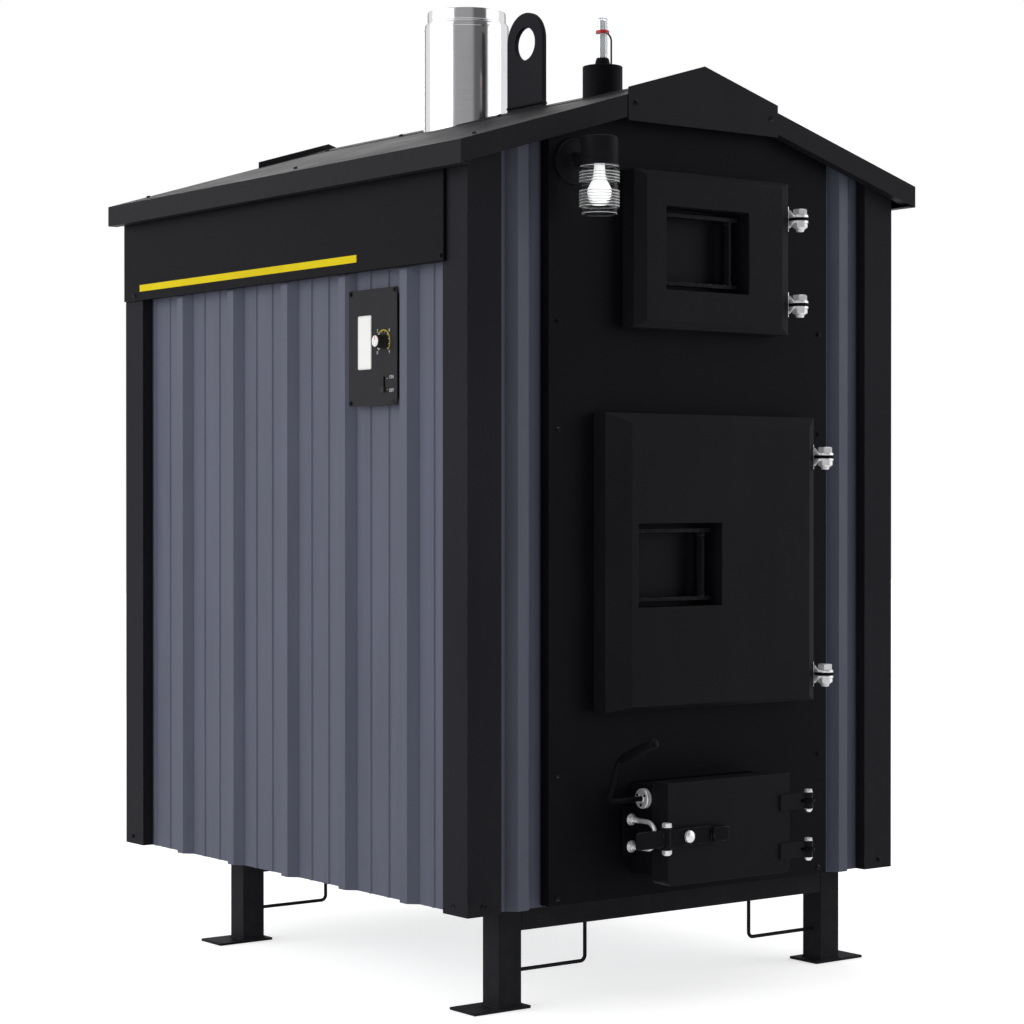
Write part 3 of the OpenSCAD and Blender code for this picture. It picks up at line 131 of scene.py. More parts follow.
def noiseNode(tree, vector, scale, detail=4.0, rough=0.55):
    values = {"Vector": vector, "Scale": scale, "Detail": detail, "Roughness": rough}
    return addNode(tree, "TexNoise", values).outputs["Fac"]


def rangeNode(tree, value, low, high, outLow=0.0, outHigh=1.0):
    values = {"Value": value, "From Min": low, "From Max": high, "To Min": outLow, "To Max": outHigh}
    return addNode(tree, "MapRange", values).outputs["Result"]


def splitNode(tree, vector):
    return addNode(tree, "SeparateXYZ", {0: vector}).outputs


def cellNode(tree, vector, scale):
    return addNode(tree, "TexVoronoi", {"Vector": vector, "Scale": scale}, feature="SMOOTH_F1").outputs["Distance"]


# node groups: effects that several materials share
groups = {}


def newGroup(name, given, results):  # gives the group, its inputs, its outputs and the place on the piece
    group = groups[name] = bpy.data.node_groups.new(name, "ShaderNodeTree")
    for label, value in given.items():
        kind = "NodeSocketVector" if isinstance(value, tuple) else "NodeSocketFloat"
        group.interface.new_socket(name=label, in_out="INPUT", socket_type=kind).default_value = value
    for label in results:
        group.interface.new_socket(name=label, in_out="OUTPUT", socket_type="NodeSocketFloat")
    place = addNode(group, "TexCoord").outputs["Object"]
    return group, group.nodes.new("NodeGroupInput").outputs, group.nodes.new("NodeGroupOutput").inputs, place


def maskInto(group, a, b, given, result):  # two masks together, at the given amount
    link(group, times(group, times(group, a, b), given["Amount"], True), result["Mask"])


def makeEdgeWear():
    group, given, result, place = newGroup("edgeWear", {"Width": 0.002, "Amount": 0.5, "Scale": 60.0}, ["Mask"])
    flat = addNode(group, "NewGeometry").outputs["Normal"]
    rounded = addNode(group, "Bevel", {"Radius": given["Width"]}, samples=4).outputs["Normal"]
    dot = addNode(group, "VectorMath", {0: flat, 1: rounded}, operation="DOT_PRODUCT").outputs["Value"]
    patch = rangeNode(group, noiseNode(group, place, given["Scale"], 6.0, 0.65), 0.46, 0.66)
    maskInto(group, rangeNode(group, dot, 0.97, 0.80), patch, given, result)


def makeCoatGrain():
    group, given, result, place = newGroup("coatGrain", {"Scale": 900.0, "Streak": 0.4}, ["Height", "Cloud"])
    drawn = addNode(group, "Mapping", {"Vector": place, "Scale": (9.0, 9.0, 0.9)}).outputs["Vector"]
    run = times(group, noiseNode(group, drawn, 2.6, 5.0, 0.6), given["Streak"])
    broad = times(group, noiseNode(group, place, 3.1, 6.0, 0.6), minus(group, 1.0, given["Streak"]))
    link(group, noiseNode(group, place, given["Scale"], 2.0, 0.5), result["Height"])
    link(group, rangeNode(group, plus(group, run, broad), 0.34, 0.66), result["Cloud"])


def makeSettledDust():
    group, given, result, place = newGroup("settledDust", {"Amount": 0.4, "Scale": 14.0}, ["Mask"])
    up = splitNode(group, addNode(group, "NewGeometry").outputs["Normal"])["Z"]
    patch = rangeNode(group, noiseNode(group, place, given["Scale"], 7.0, 0.62), 0.34, 0.72)
    maskInto(group, rangeNode(group, up, 0.25, 0.95), patch, given, result)


def makeSplash():  # dirt thrown up from the ground, thinning with height
    group, given, result, place = newGroup("groundSplash", {"Top": 0.55, "Amount": 0.3}, ["Mask"])
    height = mathNode(group, "DIVIDE", splitNode(group, place)["Z"], given["Top"])
    spots = rangeNode(group, noiseNode(group, place, 38.0, 8.0, 0.7), 0.46, 0.74)
    maskInto(group, rangeNode(group, height, 1.0, 0.0), spots, given, result)


def makeBrushLines():
    values = {"Scale": (6.0, 6.0, 900.0), "Spread": 1.0}
    group, given, result, place = newGroup("brushLines", values, ["Height", "Tone"])
    drawn = addNode(group, "VectorMath", {0: place, 1: given["Scale"]}, operation="MULTIPLY").outputs[0]
    lines = noiseNode(group, drawn, given["Spread"], 3.0, 0.6)
    smear = noiseNode(group, place, 5.0, 5.0, 0.55)
    both = plus(group, times(group, lines, 0.45), times(group, smear, 0.55))
    link(group, lines, result["Height"])
    link(group, rangeNode(group, both, 0.36, 0.64), result["Tone"])


def makeFirePlate():  # soot, mill scale and rust blooms
    values = {"Scale": 9.0, "Rust": 0.4}
    group, given, result, place = newGroup("firePlate", values, ["Height", "Rust", "Soot"])
    cells = cellNode(group, place, times(group, given["Scale"], 7.0))
    blot = noiseNode(group, place, given["Scale"], 8.0, 0.68)
    fine = noiseNode(group, place, 240.0, 4.0, 0.6)
    bloom = rangeNode(group, plus(group, blot, times(group, cells, 0.18)), 0.52, 0.72)
    link(group, times(group, bloom, given["Rust"], True), result["Rust"])
    link(group, rangeNode(group, noiseNode(group, place, 2.3, 6.0, 0.6), 0.35, 0.65), result["Soot"])
    link(group, plus(group, times(group, fine, 0.5), times(group, blot, 0.9)), result["Height"])


def makeRopeBraid():
    group, given, result, place = newGroup("ropeBraid", {"Pitch": 620.0}, ["Height", "Shade"])
    x, y, z = (splitNode(group, place)[k] for k in "XYZ")
    along = plus(group, plus(group, x, z), y)
    across = minus(group, plus(group, minus(group, x, z), times(group, y, 1.7)), y)
    one, two = (mathNode(group, "SINE", times(group, way, given["Pitch"])) for way in (along, across))
    braid = mathNode(group, "ABSOLUTE", times(group, one, two))
    fuzz = noiseNode(group, place, 1500.0, 2.0, 0.6)
    link(group, plus(group, braid, times(group, fuzz, 0.35)), result["Height"])
    link(group, rangeNode(group, plus(group, braid, noiseNode(group, place, 12.0, 5.0)), 0.2, 1.4), result["Shade"])


def makeFoamCells():
    group, given, result, place = newGroup("foamCells", {"Scale": 60.0}, ["Height", "Shade"])
    swell = noiseNode(group, place, 16.0, 6.0, 0.6)
    link(group, plus(group, cellNode(group, place, given["Scale"]), swell), result["Height"])
    link(group, rangeNode(group, swell, 0.35, 0.65), result["Shade"])


for makeGroup in (makeEdgeWear, makeCoatGrain, makeSettledDust, makeSplash, makeBrushLines, makeFirePlate,
                  makeRopeBraid, makeFoamCells):
    makeGroup()
print("node groups made:", len(groups))


# materials
def useGroup(tree, name, values):  # puts one of the groups above into a material
    node = tree.nodes.new("ShaderNodeGroup")
    node.node_tree = groups[name]
    for label, value in values.items():
        node.inputs[label].default_value = value
    return node.outputs


def blendColour(tree, mask, a, b):
    node = addNode(tree, "Mix", data_type="RGBA")
    for key, kind, value in (("Factor", "VALUE", mask), ("A", "RGBA", a), ("B", "RGBA", b)):
        socket = next(s for s in node.inputs if s.name == key and s.type == kind)
        if isinstance(value, bpy.types.NodeSocket):
            link(tree, value, socket)
        else:
            socket.default_value = (*value, 1.0)
    return next(s for s in node.outputs if s.type == "RGBA")


def layered(tree, base, *layers):  # colours laid over one another, each by its own mask
    for mask, colour in layers:
        base = blendColour(tree, mask, base, colour)
    return base


def newMaterial(name, fixed):
    material = bpy.data.materials.new(name)
    material.use_nodes = True
    tree = material.node_tree
    surface = tree.nodes["Principled BSDF"].inputs
    for label, value in fixed.items():
        surface[label].default_value = value
    return material, tree, surface


def finishInto(tree, surface, colour, tone, rough, height, depth, strength=1.0):  # colour, roughness and bump
    link(tree, colour, surface["Base Color"])
    link(tree, rangeNode(tree, tone, 0.0, 1.0, *rough), surface["Roughness"])
    bumpInto(tree, surface, height, depth, strength)


def bumpInto(tree, surface, height, depth, strength=1.0, under=None):
    bump = addNode(tree, "Bump", {"Height": height, "Distance": depth, "Strength": strength})
    if under is not None:
        link(tree, under, bump.inputs["Normal"])
    link(tree, bump.outputs["Normal"], surface["Normal"])


def paintedMetal(name, v):  # a powder coat with grain, faint run marks, rubbed edges, dust and splashed dirt
    material, tree, surface = newMaterial(name, {"Specular IOR Level": v["specular"], "IOR": 1.5})
    grain = useGroup(tree, "coatGrain", {"Scale": v["grain"], "Streak": v["streak"]})
    wear = useGroup(tree, "edgeWear", {"Width": v["edge"], "Amount": v["wear"], "Scale": v["chips"]})["Mask"]
    dust = useGroup(tree, "settledDust", {"Amount": v["dust"], "Scale": 11.0})["Mask"]
    splash = useGroup(tree, "groundSplash", {"Top": 0.6, "Amount": v["splash"]})["Mask"]
    colour = layered(tree, v["dark"], (grain["Cloud"], v["light"]), (wear, v["bare"]), (dust, v["dirt"]),
                     (splash, v["dirt"]))
    if v["foldShadeReach"]:  # painted shade: the folds of the sheet darkened where ambient occlusion finds them
        foldShade = addNode(tree, "AmbientOcclusion", {"Distance": v["foldShadeReach"]}, samples=8).outputs["AO"]
        colour = blendColour(tree, rangeNode(tree, foldShade, 0.62, 0.94, 1.0, 0.0), colour, v["foldShade"])
    link(tree, colour, surface["Base Color"])
    rough = rangeNode(tree, grain["Cloud"], 0.0, 1.0, v["rough"] - 0.05, v["rough"] + 0.05)
    soil = times(tree, mathNode(tree, "MAXIMUM", dust, splash), 0.4)
    link(tree, plus(tree, rough, soil, True), surface["Roughness"])
    link(tree, times(tree, wear, 0.6), surface["Metallic"])
    soft = addNode(tree, "Bevel", {"Radius": v["round"]}, samples=4).outputs["Normal"]
    bumpInto(tree, surface, grain["Height"], v["depth"], 0.5, soft)
    return material


def brushedMetal(name, v):
    fixed = {"Metallic": v["metal"], "Specular IOR Level": 0.5, "Anisotropic": v["aniso"]}
    material, tree, surface = newMaterial(name, fixed)
    lines = useGroup(tree, "brushLines", {"Scale": v["lines"]})
    wear = useGroup(tree, "edgeWear", {"Width": 0.001, "Amount": 0.5, "Scale": 90.0})["Mask"]
    colour = layered(tree, v["dark"], (lines["Tone"], v["light"]), (wear, v["bare"]))
    rough = (v["rough"] + 0.05, v["rough"] - 0.05)
    finishInto(tree, surface, colour, lines["Tone"], rough, lines["Height"], v["depth"], 0.6)
    return material


def sootyPlate(name, v):
    material, tree, surface = newMaterial(name, {"Specular IOR Level": 0.35})
    plate = useGroup(tree, "firePlate", {"Scale": v["scale"], "Rust": v["rust"]})
    wear = useGroup(tree, "edgeWear", {"Width": 0.0025, "Amount": 0.7, "Scale": 50.0})["Mask"]
    colour = layered(tree, v["dark"], (plate["Soot"], v["light"]), (plate["Rust"], v["rusty"]), (wear, v["bare"]))
    link(tree, times(tree, minus(tree, 1.0, plate["Rust"]), v["metal"]), surface["Metallic"])
    rough = (v["rough"], v["rough"] + 0.18)
    finishInto(tree, surface, colour, plate["Soot"], rough, plate["Height"], v["depth"])
    return material


def braidedRope(name, v):
    fixed = {"Specular IOR Level": 0.2, "Sheen Weight": 0.25, "Sheen Roughness": 0.6}
    material, tree, surface = newMaterial(name, fixed)
    braid = useGroup(tree, "ropeBraid", {"Pitch": v["pitch"]})
    colour = blendColour(tree, braid["Shade"], v["dark"], v["light"])
    finishInto(tree, surface, colour, braid["Shade"], (0.98, 0.82), braid["Height"], v["depth"])
    return material


def sprayedFoam(name, v):
    material, tree, surface = newMaterial(name, {"Specular IOR Level": 0.25})
    cells = useGroup(tree, "foamCells", {"Scale": v["scale"]})
    colour = blendColour(tree, cells["Shade"], v["dark"], v["light"])
    finishInto(tree, surface, colour, cells["Shade"], (0.95, 0.8), cells["Height"], v["depth"])
    return material


def mouldedPlastic(name, v):
    fixed = {"Specular IOR Level": v["specular"], "Transmission Weight": v["clear"], "IOR": v["bend"]}
    material, tree, surface = newMaterial(name, fixed)
    grain = useGroup(tree, "coatGrain", {"Scale": v["grain"], "Streak": 0.1})
    wear = useGroup(tree, "edgeWear", {"Width": 0.0008, "Amount": v["wear"], "Scale": 120.0})["Mask"]
    dust = useGroup(tree, "settledDust", {"Amount": v["dust"], "Scale": 40.0})["Mask"]
    colour = layered(tree, v["dark"], (grain["Cloud"], v["light"]), (wear, v["bare"]), (dust, (0.42, 0.40, 0.36)))
    rough = (v["rough"], v["rough"] + 0.1)
    finishInto(tree, surface, colour, grain["Cloud"], rough, grain["Height"], v["depth"], 0.5)
    return material


def pressedGlass(name, v):
    fixed = {"Specular IOR Level": 0.5, "Transmission Weight": v["clear"], "IOR": v["bend"]}
    material, tree, surface = newMaterial(name, fixed)
    grain = useGroup(tree, "coatGrain", {"Scale": 60.0, "Streak": 0.2})
    dust = useGroup(tree, "settledDust", {"Amount": 0.25, "Scale": 50.0})["Mask"]
    colour = layered(tree, v["dark"], (grain["Cloud"], v["light"]), (dust, (0.7, 0.68, 0.62)))
    if v["glow"]:
        link(tree, blendColour(tree, grain["Cloud"], v["light"], (1.0, 1.0, 1.0)), surface["Emission Color"])
        surface["Emission Strength"].default_value = v["glow"]
    rough = (v["rough"], v["rough"] + v["cloudy"])
    finishInto(tree, surface, colour, grain["Cloud"], rough, grain["Height"], v["depth"], 0.3)
    return material


# each way of making a finish, the values its finishes share, and what each of them has of its own
recipes = (
    (paintedMetal, {
        "dark": (0.0042, 0.0042, 0.0060), "light": (0.0066, 0.0064, 0.0088), "bare": (0.055, 0.055, 0.058),
        "dirt": (0.040, 0.037, 0.034), "rough": 0.46, "specular": 0.03, "grain": 850.0, "streak": 0.35,
        "depth": 0.00012, "edge": 0.0016, "wear": 0.35, "chips": 70.0, "dust": 0.09, "splash": 0.07,
        "round": 0.0012, "foldShadeReach": 0,
    }, {
        "blackPaint": {},
        "doorPaint": {"dark": (0.0090, 0.0088, 0.0115), "light": (0.0124, 0.0120, 0.0150), "rough": 0.42,
                      "round": 0.0022, "edge": 0.0024, "wear": 0.45},
        # painted light: a lighter copy of the black paint for the legs, rails, rods, corner trims and lug, standing in
        # for the stronger light on them; it also has more wear and ground splash
        "litPostPaint": {"dark": (0.0135, 0.0132, 0.0170), "light": (0.0182, 0.0178, 0.0220), "wear": 0.7,
                      "edge": 0.0028, "chips": 45.0, "splash": 0.34, "rough": 0.52},
        "handlePaint": {"wear": 0.8, "edge": 0.003, "rough": 0.36, "bare": (0.16, 0.16, 0.165)},
        # the siding's folds get painted shade: darkened by ambient occlusion
        "sidingPaint": {"dark": (0.088, 0.094, 0.132), "light": (0.108, 0.115, 0.158), "bare": (0.32, 0.33, 0.36),
                        "dirt": (0.19, 0.175, 0.150), "rough": 0.50, "specular": 0.11, "wear": 0.25, "dust": 0.12,
                        "splash": 0.18, "streak": 0.75, "foldShadeReach": 0.008, "foldShade": (0.022, 0.024, 0.040)},
        "roofPaint": {"dark": (0.0108, 0.0106, 0.0134), "light": (0.0156, 0.0154, 0.0182), "rough": 0.50,
                      "specular": 0.05, "dust": 0.28, "streak": 0.5},
        "controlPaint": {"dark": (0.023, 0.022, 0.025), "light": (0.031, 0.030, 0.033), "rough": 0.5,
                         "grain": 1500.0, "depth": 0.00006},
        "stripePaint": {"dark": (0.62, 0.48, 0.004), "light": (0.70, 0.56, 0.008), "bare": (0.85, 0.78, 0.4),
                        "rough": 0.45, "wear": 0.2, "dust": 0.1, "splash": 0.0},
        "whitePrint": {"dark": (0.72, 0.72, 0.70), "light": (0.82, 0.82, 0.80), "bare": (0.6, 0.6, 0.6),
                       "rough": 0.5, "wear": 0.15, "dust": 0.1, "splash": 0.0},
        "primedPlate": {"dark": (0.10, 0.032, 0.020), "light": (0.15, 0.048, 0.030), "bare": (0.22, 0.2, 0.19),
                        "rough": 0.7, "wear": 0.8, "edge": 0.004},
    }),
    (brushedMetal, {"aniso": 0.0, "metal": 1.0}, {
        "stainless": {"dark": (0.66, 0.66, 0.68), "light": (0.76, 0.76, 0.78), "bare": (0.88, 0.88, 0.88),
                      "rough": 0.13, "aniso": 0.2, "lines": (5.0, 5.0, 1400.0), "depth": 0.000012},
        "zinc": {"dark": (0.78, 0.78, 0.80), "light": (0.90, 0.90, 0.91), "bare": (0.95, 0.95, 0.95),
                 "rough": 0.36, "metal": 0.6, "lines": (420.0, 420.0, 420.0), "depth": 0.00005},
        "galvanised": {"dark": (0.36, 0.37, 0.38), "light": (0.55, 0.56, 0.57), "bare": (0.7, 0.7, 0.7),
                       "rough": 0.42, "lines": (60.0, 60.0, 60.0), "depth": 0.00006},
    }),
    (sootyPlate, {}, {
        "firePlate": {"scale": 8.0, "rust": 0.4, "dark": (0.012, 0.011, 0.010), "light": (0.045, 0.040, 0.036),
                      "rusty": (0.16, 0.055, 0.022), "bare": (0.25, 0.23, 0.21), "rough": 0.6, "metal": 0.3,
                      "depth": 0.0006},
        "castIron": {"scale": 16.0, "rust": 0.9, "dark": (0.03, 0.026, 0.023), "light": (0.085, 0.075, 0.066),
                     "rusty": (0.20, 0.075, 0.03), "bare": (0.3, 0.27, 0.24), "rough": 0.62, "metal": 0.4,
                     "depth": 0.0009},
        "steelPort": {"scale": 20.0, "rust": 0.5, "dark": (0.06, 0.056, 0.052), "light": (0.15, 0.14, 0.13),
                      "rusty": (0.22, 0.09, 0.04), "bare": (0.4, 0.38, 0.36), "rough": 0.45, "metal": 0.7,
                      "depth": 0.0003},
    }),
    (braidedRope, {}, {
        "gasketRope": {"pitch": 620.0, "dark": (0.40, 0.38, 0.34), "light": (0.74, 0.72, 0.66), "depth": 0.0012},
    }),
    (sprayedFoam, {}, {
        "foam": {"scale": 70.0, "dark": (0.52, 0.40, 0.16), "light": (0.80, 0.68, 0.36), "depth": 0.004},
    }),
    (mouldedPlastic, {"rough": 0.35, "specular": 0.4, "grain": 1500.0, "depth": 0.00004, "wear": 0.1, "dust": 0.1,
                      "clear": 0.0, "bend": 1.49}, {
        "whitePlastic": {"dark": (0.74, 0.74, 0.72), "light": (0.84, 0.84, 0.82), "bare": (0.9, 0.9, 0.88)},
        "scalePlastic": {"dark": (0.50, 0.51, 0.52), "light": (0.62, 0.63, 0.64), "bare": (0.7, 0.7, 0.7),
                         "rough": 0.5, "specular": 0.2},
        "blackPlastic": {"dark": (0.010, 0.010, 0.011), "light": (0.017, 0.017, 0.018), "bare": (0.05, 0.05, 0.05),
                         "rough": 0.42, "specular": 0.3, "grain": 1300.0, "depth": 0.0001, "wear": 0.4},
        "redPlastic": {"dark": (0.50, 0.015, 0.012), "light": (0.66, 0.03, 0.02), "bare": (0.8, 0.2, 0.16),
                       "rough": 0.3, "specular": 0.45, "grain": 900.0, "wear": 0.15, "dust": 0.08},
        "clearTube": {"dark": (0.80, 0.82, 0.83), "light": (0.90, 0.91, 0.92), "bare": (1.0, 1.0, 1.0),
                      "rough": 0.06, "specular": 0.5, "grain": 300.0, "depth": 0.00002, "clear": 0.82, "bend": 1.2},
    }),
    (pressedGlass, {"depth": 0.0001, "bend": 1.47, "glow": 0}, {
        # painted highlight: whiter, less clear glass for the ropes laid over the jar's rings
        "ringHighlightGlass": {"dark": (0.86, 0.88, 0.88), "light": (0.97, 0.98, 0.98), "rough": 0.15, "cloudy": 0.1,
                      "clear": 0.72, "bend": 1.3},
        "jarGlass": {"dark": (0.95, 0.97, 0.97), "light": (1.0, 1.0, 1.0), "rough": 0.02, "cloudy": 0.04,
                     "clear": 1.0, "bend": 1.13},
        "bulbGlass": {"dark": (0.90, 0.90, 0.89), "light": (0.96, 0.96, 0.95), "rough": 0.28, "cloudy": 0.12,
                      "clear": 0.0, "depth": 0.00003, "glow": 0.45},
    }),
)
finish = {name: make(name, {**shared, **own}) for make, shared, members in recipes for name, own in members.items()}
slotFinish = {
    "black_paint": "blackPaint", "siding_paint": "sidingPaint", "roof_paint": "roofPaint", "bare_plate": "firePlate",
    "grate_iron": "castIron", "stainless": "stainless", "zinc": "zinc", "gasket_rope": "gasketRope", "foam": "foam",
    "white_plastic": "whitePlastic", "float_plastic": "redPlastic", "lamp_glass": "jarGlass",
    "bulb_glass": "bulbGlass", "control_paint": "controlPaint", "black_plastic": "blackPlastic",
}
legs = ("leg_front_left", "leg_front_right", "leg_rear_left", "leg_rear_right")
nodeFinish = {node: name for name, members in (  # nodes whose finish isn't their slot's
    # these take the lighter copy of the black paint, which is painted light
    ("litPostPaint", (*legs, "cross_rails", "tie_down_rods", "corner_trims", "lifting_lug")),
    ("doorPaint", ("fire_door", "cleanout_door", "ash_door")),
    ("handlePaint", ("shaker_crank", "ash_latch_lever", "fire_door_handle", "cleanout_door_handle")),
    ("galvanised", ("floor_pan", "ash_pan")),
    ("primedPlate", ("water_jacket",)),
    ("steelPort", ("pipe_ports",)),
    ("clearTube", ("gauge_tube",)),
) for node in members}


def paintWith(obj, name):
    obj.data.materials.clear()
    obj.data.materials.append(finish[name])


def finishOf(node):
    return nodeFinish.get(node, slotFinish[slotOf[node]])


for nodeName, nodeObject in nodes.items():
    paintWith(nodeObject, finishOf(nodeName))
print("materials made:", len(finish))


# mesh helpers; all sizes in millimetres
def plainMesh(name, bm):
    mesh = bpy.data.meshes.new(name)
    bm.to_mesh(mesh)
    bm.free()
    return mesh


def toMesh(name, bm):  # the same, its faces turned outwards
    bmesh.ops.recalc_face_normals(bm, faces=bm.faces[:])
    return plainMesh(name, bm)


def meshOf(helper):  # what a helper object comes to as a mesh; the helper goes
    mesh = bpy.data.meshes.new_from_object(helper.evaluated_get(bpy.context.evaluated_depsgraph_get()))
    bpy.data.objects.remove(helper)
    return mesh


def settle(name, form, body, material, hidden=(), sharp=32.0):  # links a form as a piece that rides on a body
    mesh = toMesh(name, form) if isinstance(form, bmesh.types.BMesh) else form
    piece = addObject(name, mesh)
    mesh.shade_smooth()
    mesh.set_sharp_from_angle(angle=math.radians(sharp))
    paintWith(piece, material)
    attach(piece, body)
    if hidden:
        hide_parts(*hidden)
    return piece


def dress(name, form, node, material, sharp=32.0):  # a piece in the place of a CAD node, on its body
    return settle(name, form, bodyOf[node], material, (node,), sharp)


def ring(bm, centre, side, up, radius, count):
    return [bm.verts.new(centre + side * radius * math.cos(math.tau * i / count)
                         + up * radius * math.sin(math.tau * i / count)) for i in range(count)]


def joinRings(bm, a, b):
    n = len(a)
    for i in range(n):
        bm.faces.new((a[i], a[(i + 1) % n], b[(i + 1) % n], b[i]))


def joinLoops(bm, loops, ends=True):
    for a, b in zip(loops, loops[1:]):
        joinRings(bm, a, b)
    if ends:
        bm.faces.new(loops[0])
        bm.faces.new(loops[-1])


def frameOf(axis):
    axis = Vector(axis).normalized()
    side = axis.orthogonal().normalized()
    return axis, side, axis.cross(side)


def addLathe(bm, origin, axis, profile, count=48, flutes=0, fluteDepth=0.0, ends=True):  # (radius, along) pairs, turned
    axis, side, up = frameOf(axis)
    loops = []
    for radius, along in profile:
        centre = origin + axis * along / 1000
        loop = []
        for i in range(count):
            angle = math.tau * i / count
            r = radius - fluteDepth * (0.5 - 0.5 * math.cos(flutes * angle))
            loop.append(bm.verts.new(centre + (side * math.cos(angle) + up * math.sin(angle)) * r / 1000))
        loops.append(loop)
    joinLoops(bm, loops, ends)


def addTube(bm, points, radii, count=16):  # a round bar swept along points, with closed ends
    side = None
    loops = []
    for i, point in enumerate(points):
        back, ahead = points[max(i - 1, 0)], points[min(i + 1, len(points) - 1)]
        axis = (ahead - back).normalized()
        side = axis.orthogonal().normalized() if side is None else (side - axis * side.dot(axis)).normalized()
        radius = radii[i] if isinstance(radii, list) else radii
        loops.append(ring(bm, point, side, axis.cross(side), radius / 1000, count))
    joinLoops(bm, loops)


def addRope(bm, points, radius, count=12):  # a closed tube through points
    loops = []
    for i, point in enumerate(points):
        axis = (points[(i + 1) % len(points)] - points[i - 1]).normalized()
        side = Vector((0, 1, 0))
        side = (side - axis * side.dot(axis)).normalized()
        loops.append(ring(bm, point, side, axis.cross(side), radius / 1000, count))
    joinLoops(bm, loops + loops[:1], False)


def addHex(bm, origin, axis, across, height, chamfer, washer, washerHeight, turnBy):  # a hexagon head on its washer
    hexagon = {"around": 24, "blunt": 0.985, "top": 0.94, "edge": 0.3}
    axis, side, up = frameOf(axis)
    edge = hexagon["edge"]
    addLathe(bm, origin, axis, [(washer - 0.4, 0), (washer, edge), (washer, washerHeight - edge),
                                (washer - 0.5, washerHeight)], 28)
    base = origin + axis * washerHeight / 1000
    inner = across / 2 / 1000
    corner = across / math.sqrt(3) / 1000 * hexagon["blunt"]
    loops = []
    for along in (0, height - chamfer, height):
        loop = []
        for i in range(hexagon["around"]):
            angle = turnBy + math.tau * i / hexagon["around"]
            local = (angle - turnBy + math.pi / 6) % (math.pi / 3) - math.pi / 6
            r = inner * hexagon["top"] if along == height else min(inner / math.cos(local), corner)
            spot = (side * math.cos(angle) + up * math.sin(angle)) * r
            loop.append(bm.verts.new(base + axis * along / 1000 + spot))
        loops.append(loop)
    joinLoops(bm, loops)


def addPlate(bm, outline, direction, thickness, ease=0.8):  # a flat outline made thick, its edges eased
    axis = Vector(direction).normalized()
    n = len(outline)
    centre = sum(outline, Vector()) / n
    outwards = []
    for i in range(n):
        before = (outline[i] - outline[i - 1]).normalized().cross(axis)
        after = (outline[(i + 1) % n] - outline[i]).normalized().cross(axis)
        out = before + after
        out = out.normalized() if out.length > 1e-6 else before
        outwards.append(out / max(0.3, out.dot(before.normalized())))
    area = sum((outline[i] - centre).cross(outline[(i + 1) % n] - centre).dot(axis) for i in range(n))
    sign = 1 if area > 0 else -1
    joinLoops(bm, [[bm.verts.new(outline[i] - outwards[i] * sign * inset / 1000 + axis * along / 1000)
                    for i in range(n)]
                   for along, inset in ((0, ease), (ease, 0), (thickness - ease, 0), (thickness, ease))])


def addPatch(bm, corner, spots, direction, thickness, ease):  # a plate over (y, z) spots from a corner
    addPlate(bm, [at(corner[0], corner[1] + y, corner[2] + z) for y, z in spots], direction, thickness, ease)


def oblong(y0, y1, z0, z1):
    return ((y0, z0), (y1, z0), (y1, z1), (y0, z1))


def roundedOutline(centre, right, width, height, radius):  # an upright rectangle with round corners
    points = []
    steps = 5
    for sx, sy, start in ((1, 1, 0), (-1, 1, 90), (-1, -1, 180), (1, -1, 270)):
        for k in range(steps + 1):
            angle = math.radians(start + 90 * k / steps)
            points.append(centre + right * (sx * (width / 2 - radius) + radius * math.cos(angle)) / 1000
                          + upward * (sy * (height / 2 - radius) + radius * math.sin(angle)) / 1000)
    return points


def addBead(bm, start, end, radius):  # a rippled weld bead from one point to another
    bead = {"pitch": 3.2, "end": 0.35, "low": 0.86, "ripple": 0.2, "phase": 0.4}
    count = max(6, int((end - start).length * 1000 / bead["pitch"]) * 3)
    points = [start.lerp(end, i / count) for i in range(count + 1)]
    radii = [radius * (bead["low"] + bead["ripple"] * abs(math.sin(math.pi * i / 3 + bead["phase"])))
             for i in range(count + 1)]
    radii[0] = radii[-1] = radius * bead["end"]
    addTube(bm, points, radii, 8)


def smoothPath(corners, bend, steps=6):  # straight runs with rounded corners
    points = [corners[0]]
    for before, corner, after in zip(corners, corners[1:], corners[2:]):
        a = corner + (before - corner).normalized() * bend / 1000
        b = corner + (after - corner).normalized() * bend / 1000
        for k in range(steps + 1):
            t = k / steps
            points.append(a * (1 - t) ** 2 + corner * 2 * t * (1 - t) + b * t * t)
    points.append(corners[-1])
    return points


def eased(node, radius):  # a CAD node's own shape with its edges rounded
    ease = {"merge": 0.00002, "level": 0.6, "flat": 0.0004, "edge": 35, "sharp": 30.0}
    mesh = nodes[node].data.copy()
    bm = bmesh.new()
    bm.from_mesh(mesh)
    bmesh.ops.remove_doubles(bm, verts=bm.verts[:], dist=ease["merge"])
    bmesh.ops.dissolve_limit(bm, angle_limit=math.radians(ease["level"]), verts=bm.verts[:], edges=bm.edges[:])
    flats = []
    for face in bm.faces:
        if face.calc_area() > ease["flat"] and not any(face.normal.dot(n) > 0.99998 for n in flats):
            flats.append(face.normal.copy())
    bm.to_mesh(mesh)
    bm.free()
    helper = addObject("helper", mesh)
    bevel = helper.modifiers.new("ease", "BEVEL")
    bevel.width = radius / 1000
    bevel.segments = 2
    bevel.limit_method = "ANGLE"
    bevel.angle_limit = math.radians(ease["edge"])
    bevel.use_clamp_overlap = True
    bevel.miter_outer = "MITER_ARC"
    helper.modifiers.new("faces", "TRIANGULATE").min_vertices = 5
    made = meshOf(helper)
    made.name = node
    dress("eased_" + node, made, node, finishOf(node), ease["sharp"])
    for polygon in made.polygons:
        if any(polygon.normal.dot(n) > 0.9999 for n in flats):
            polygon.use_smooth = False


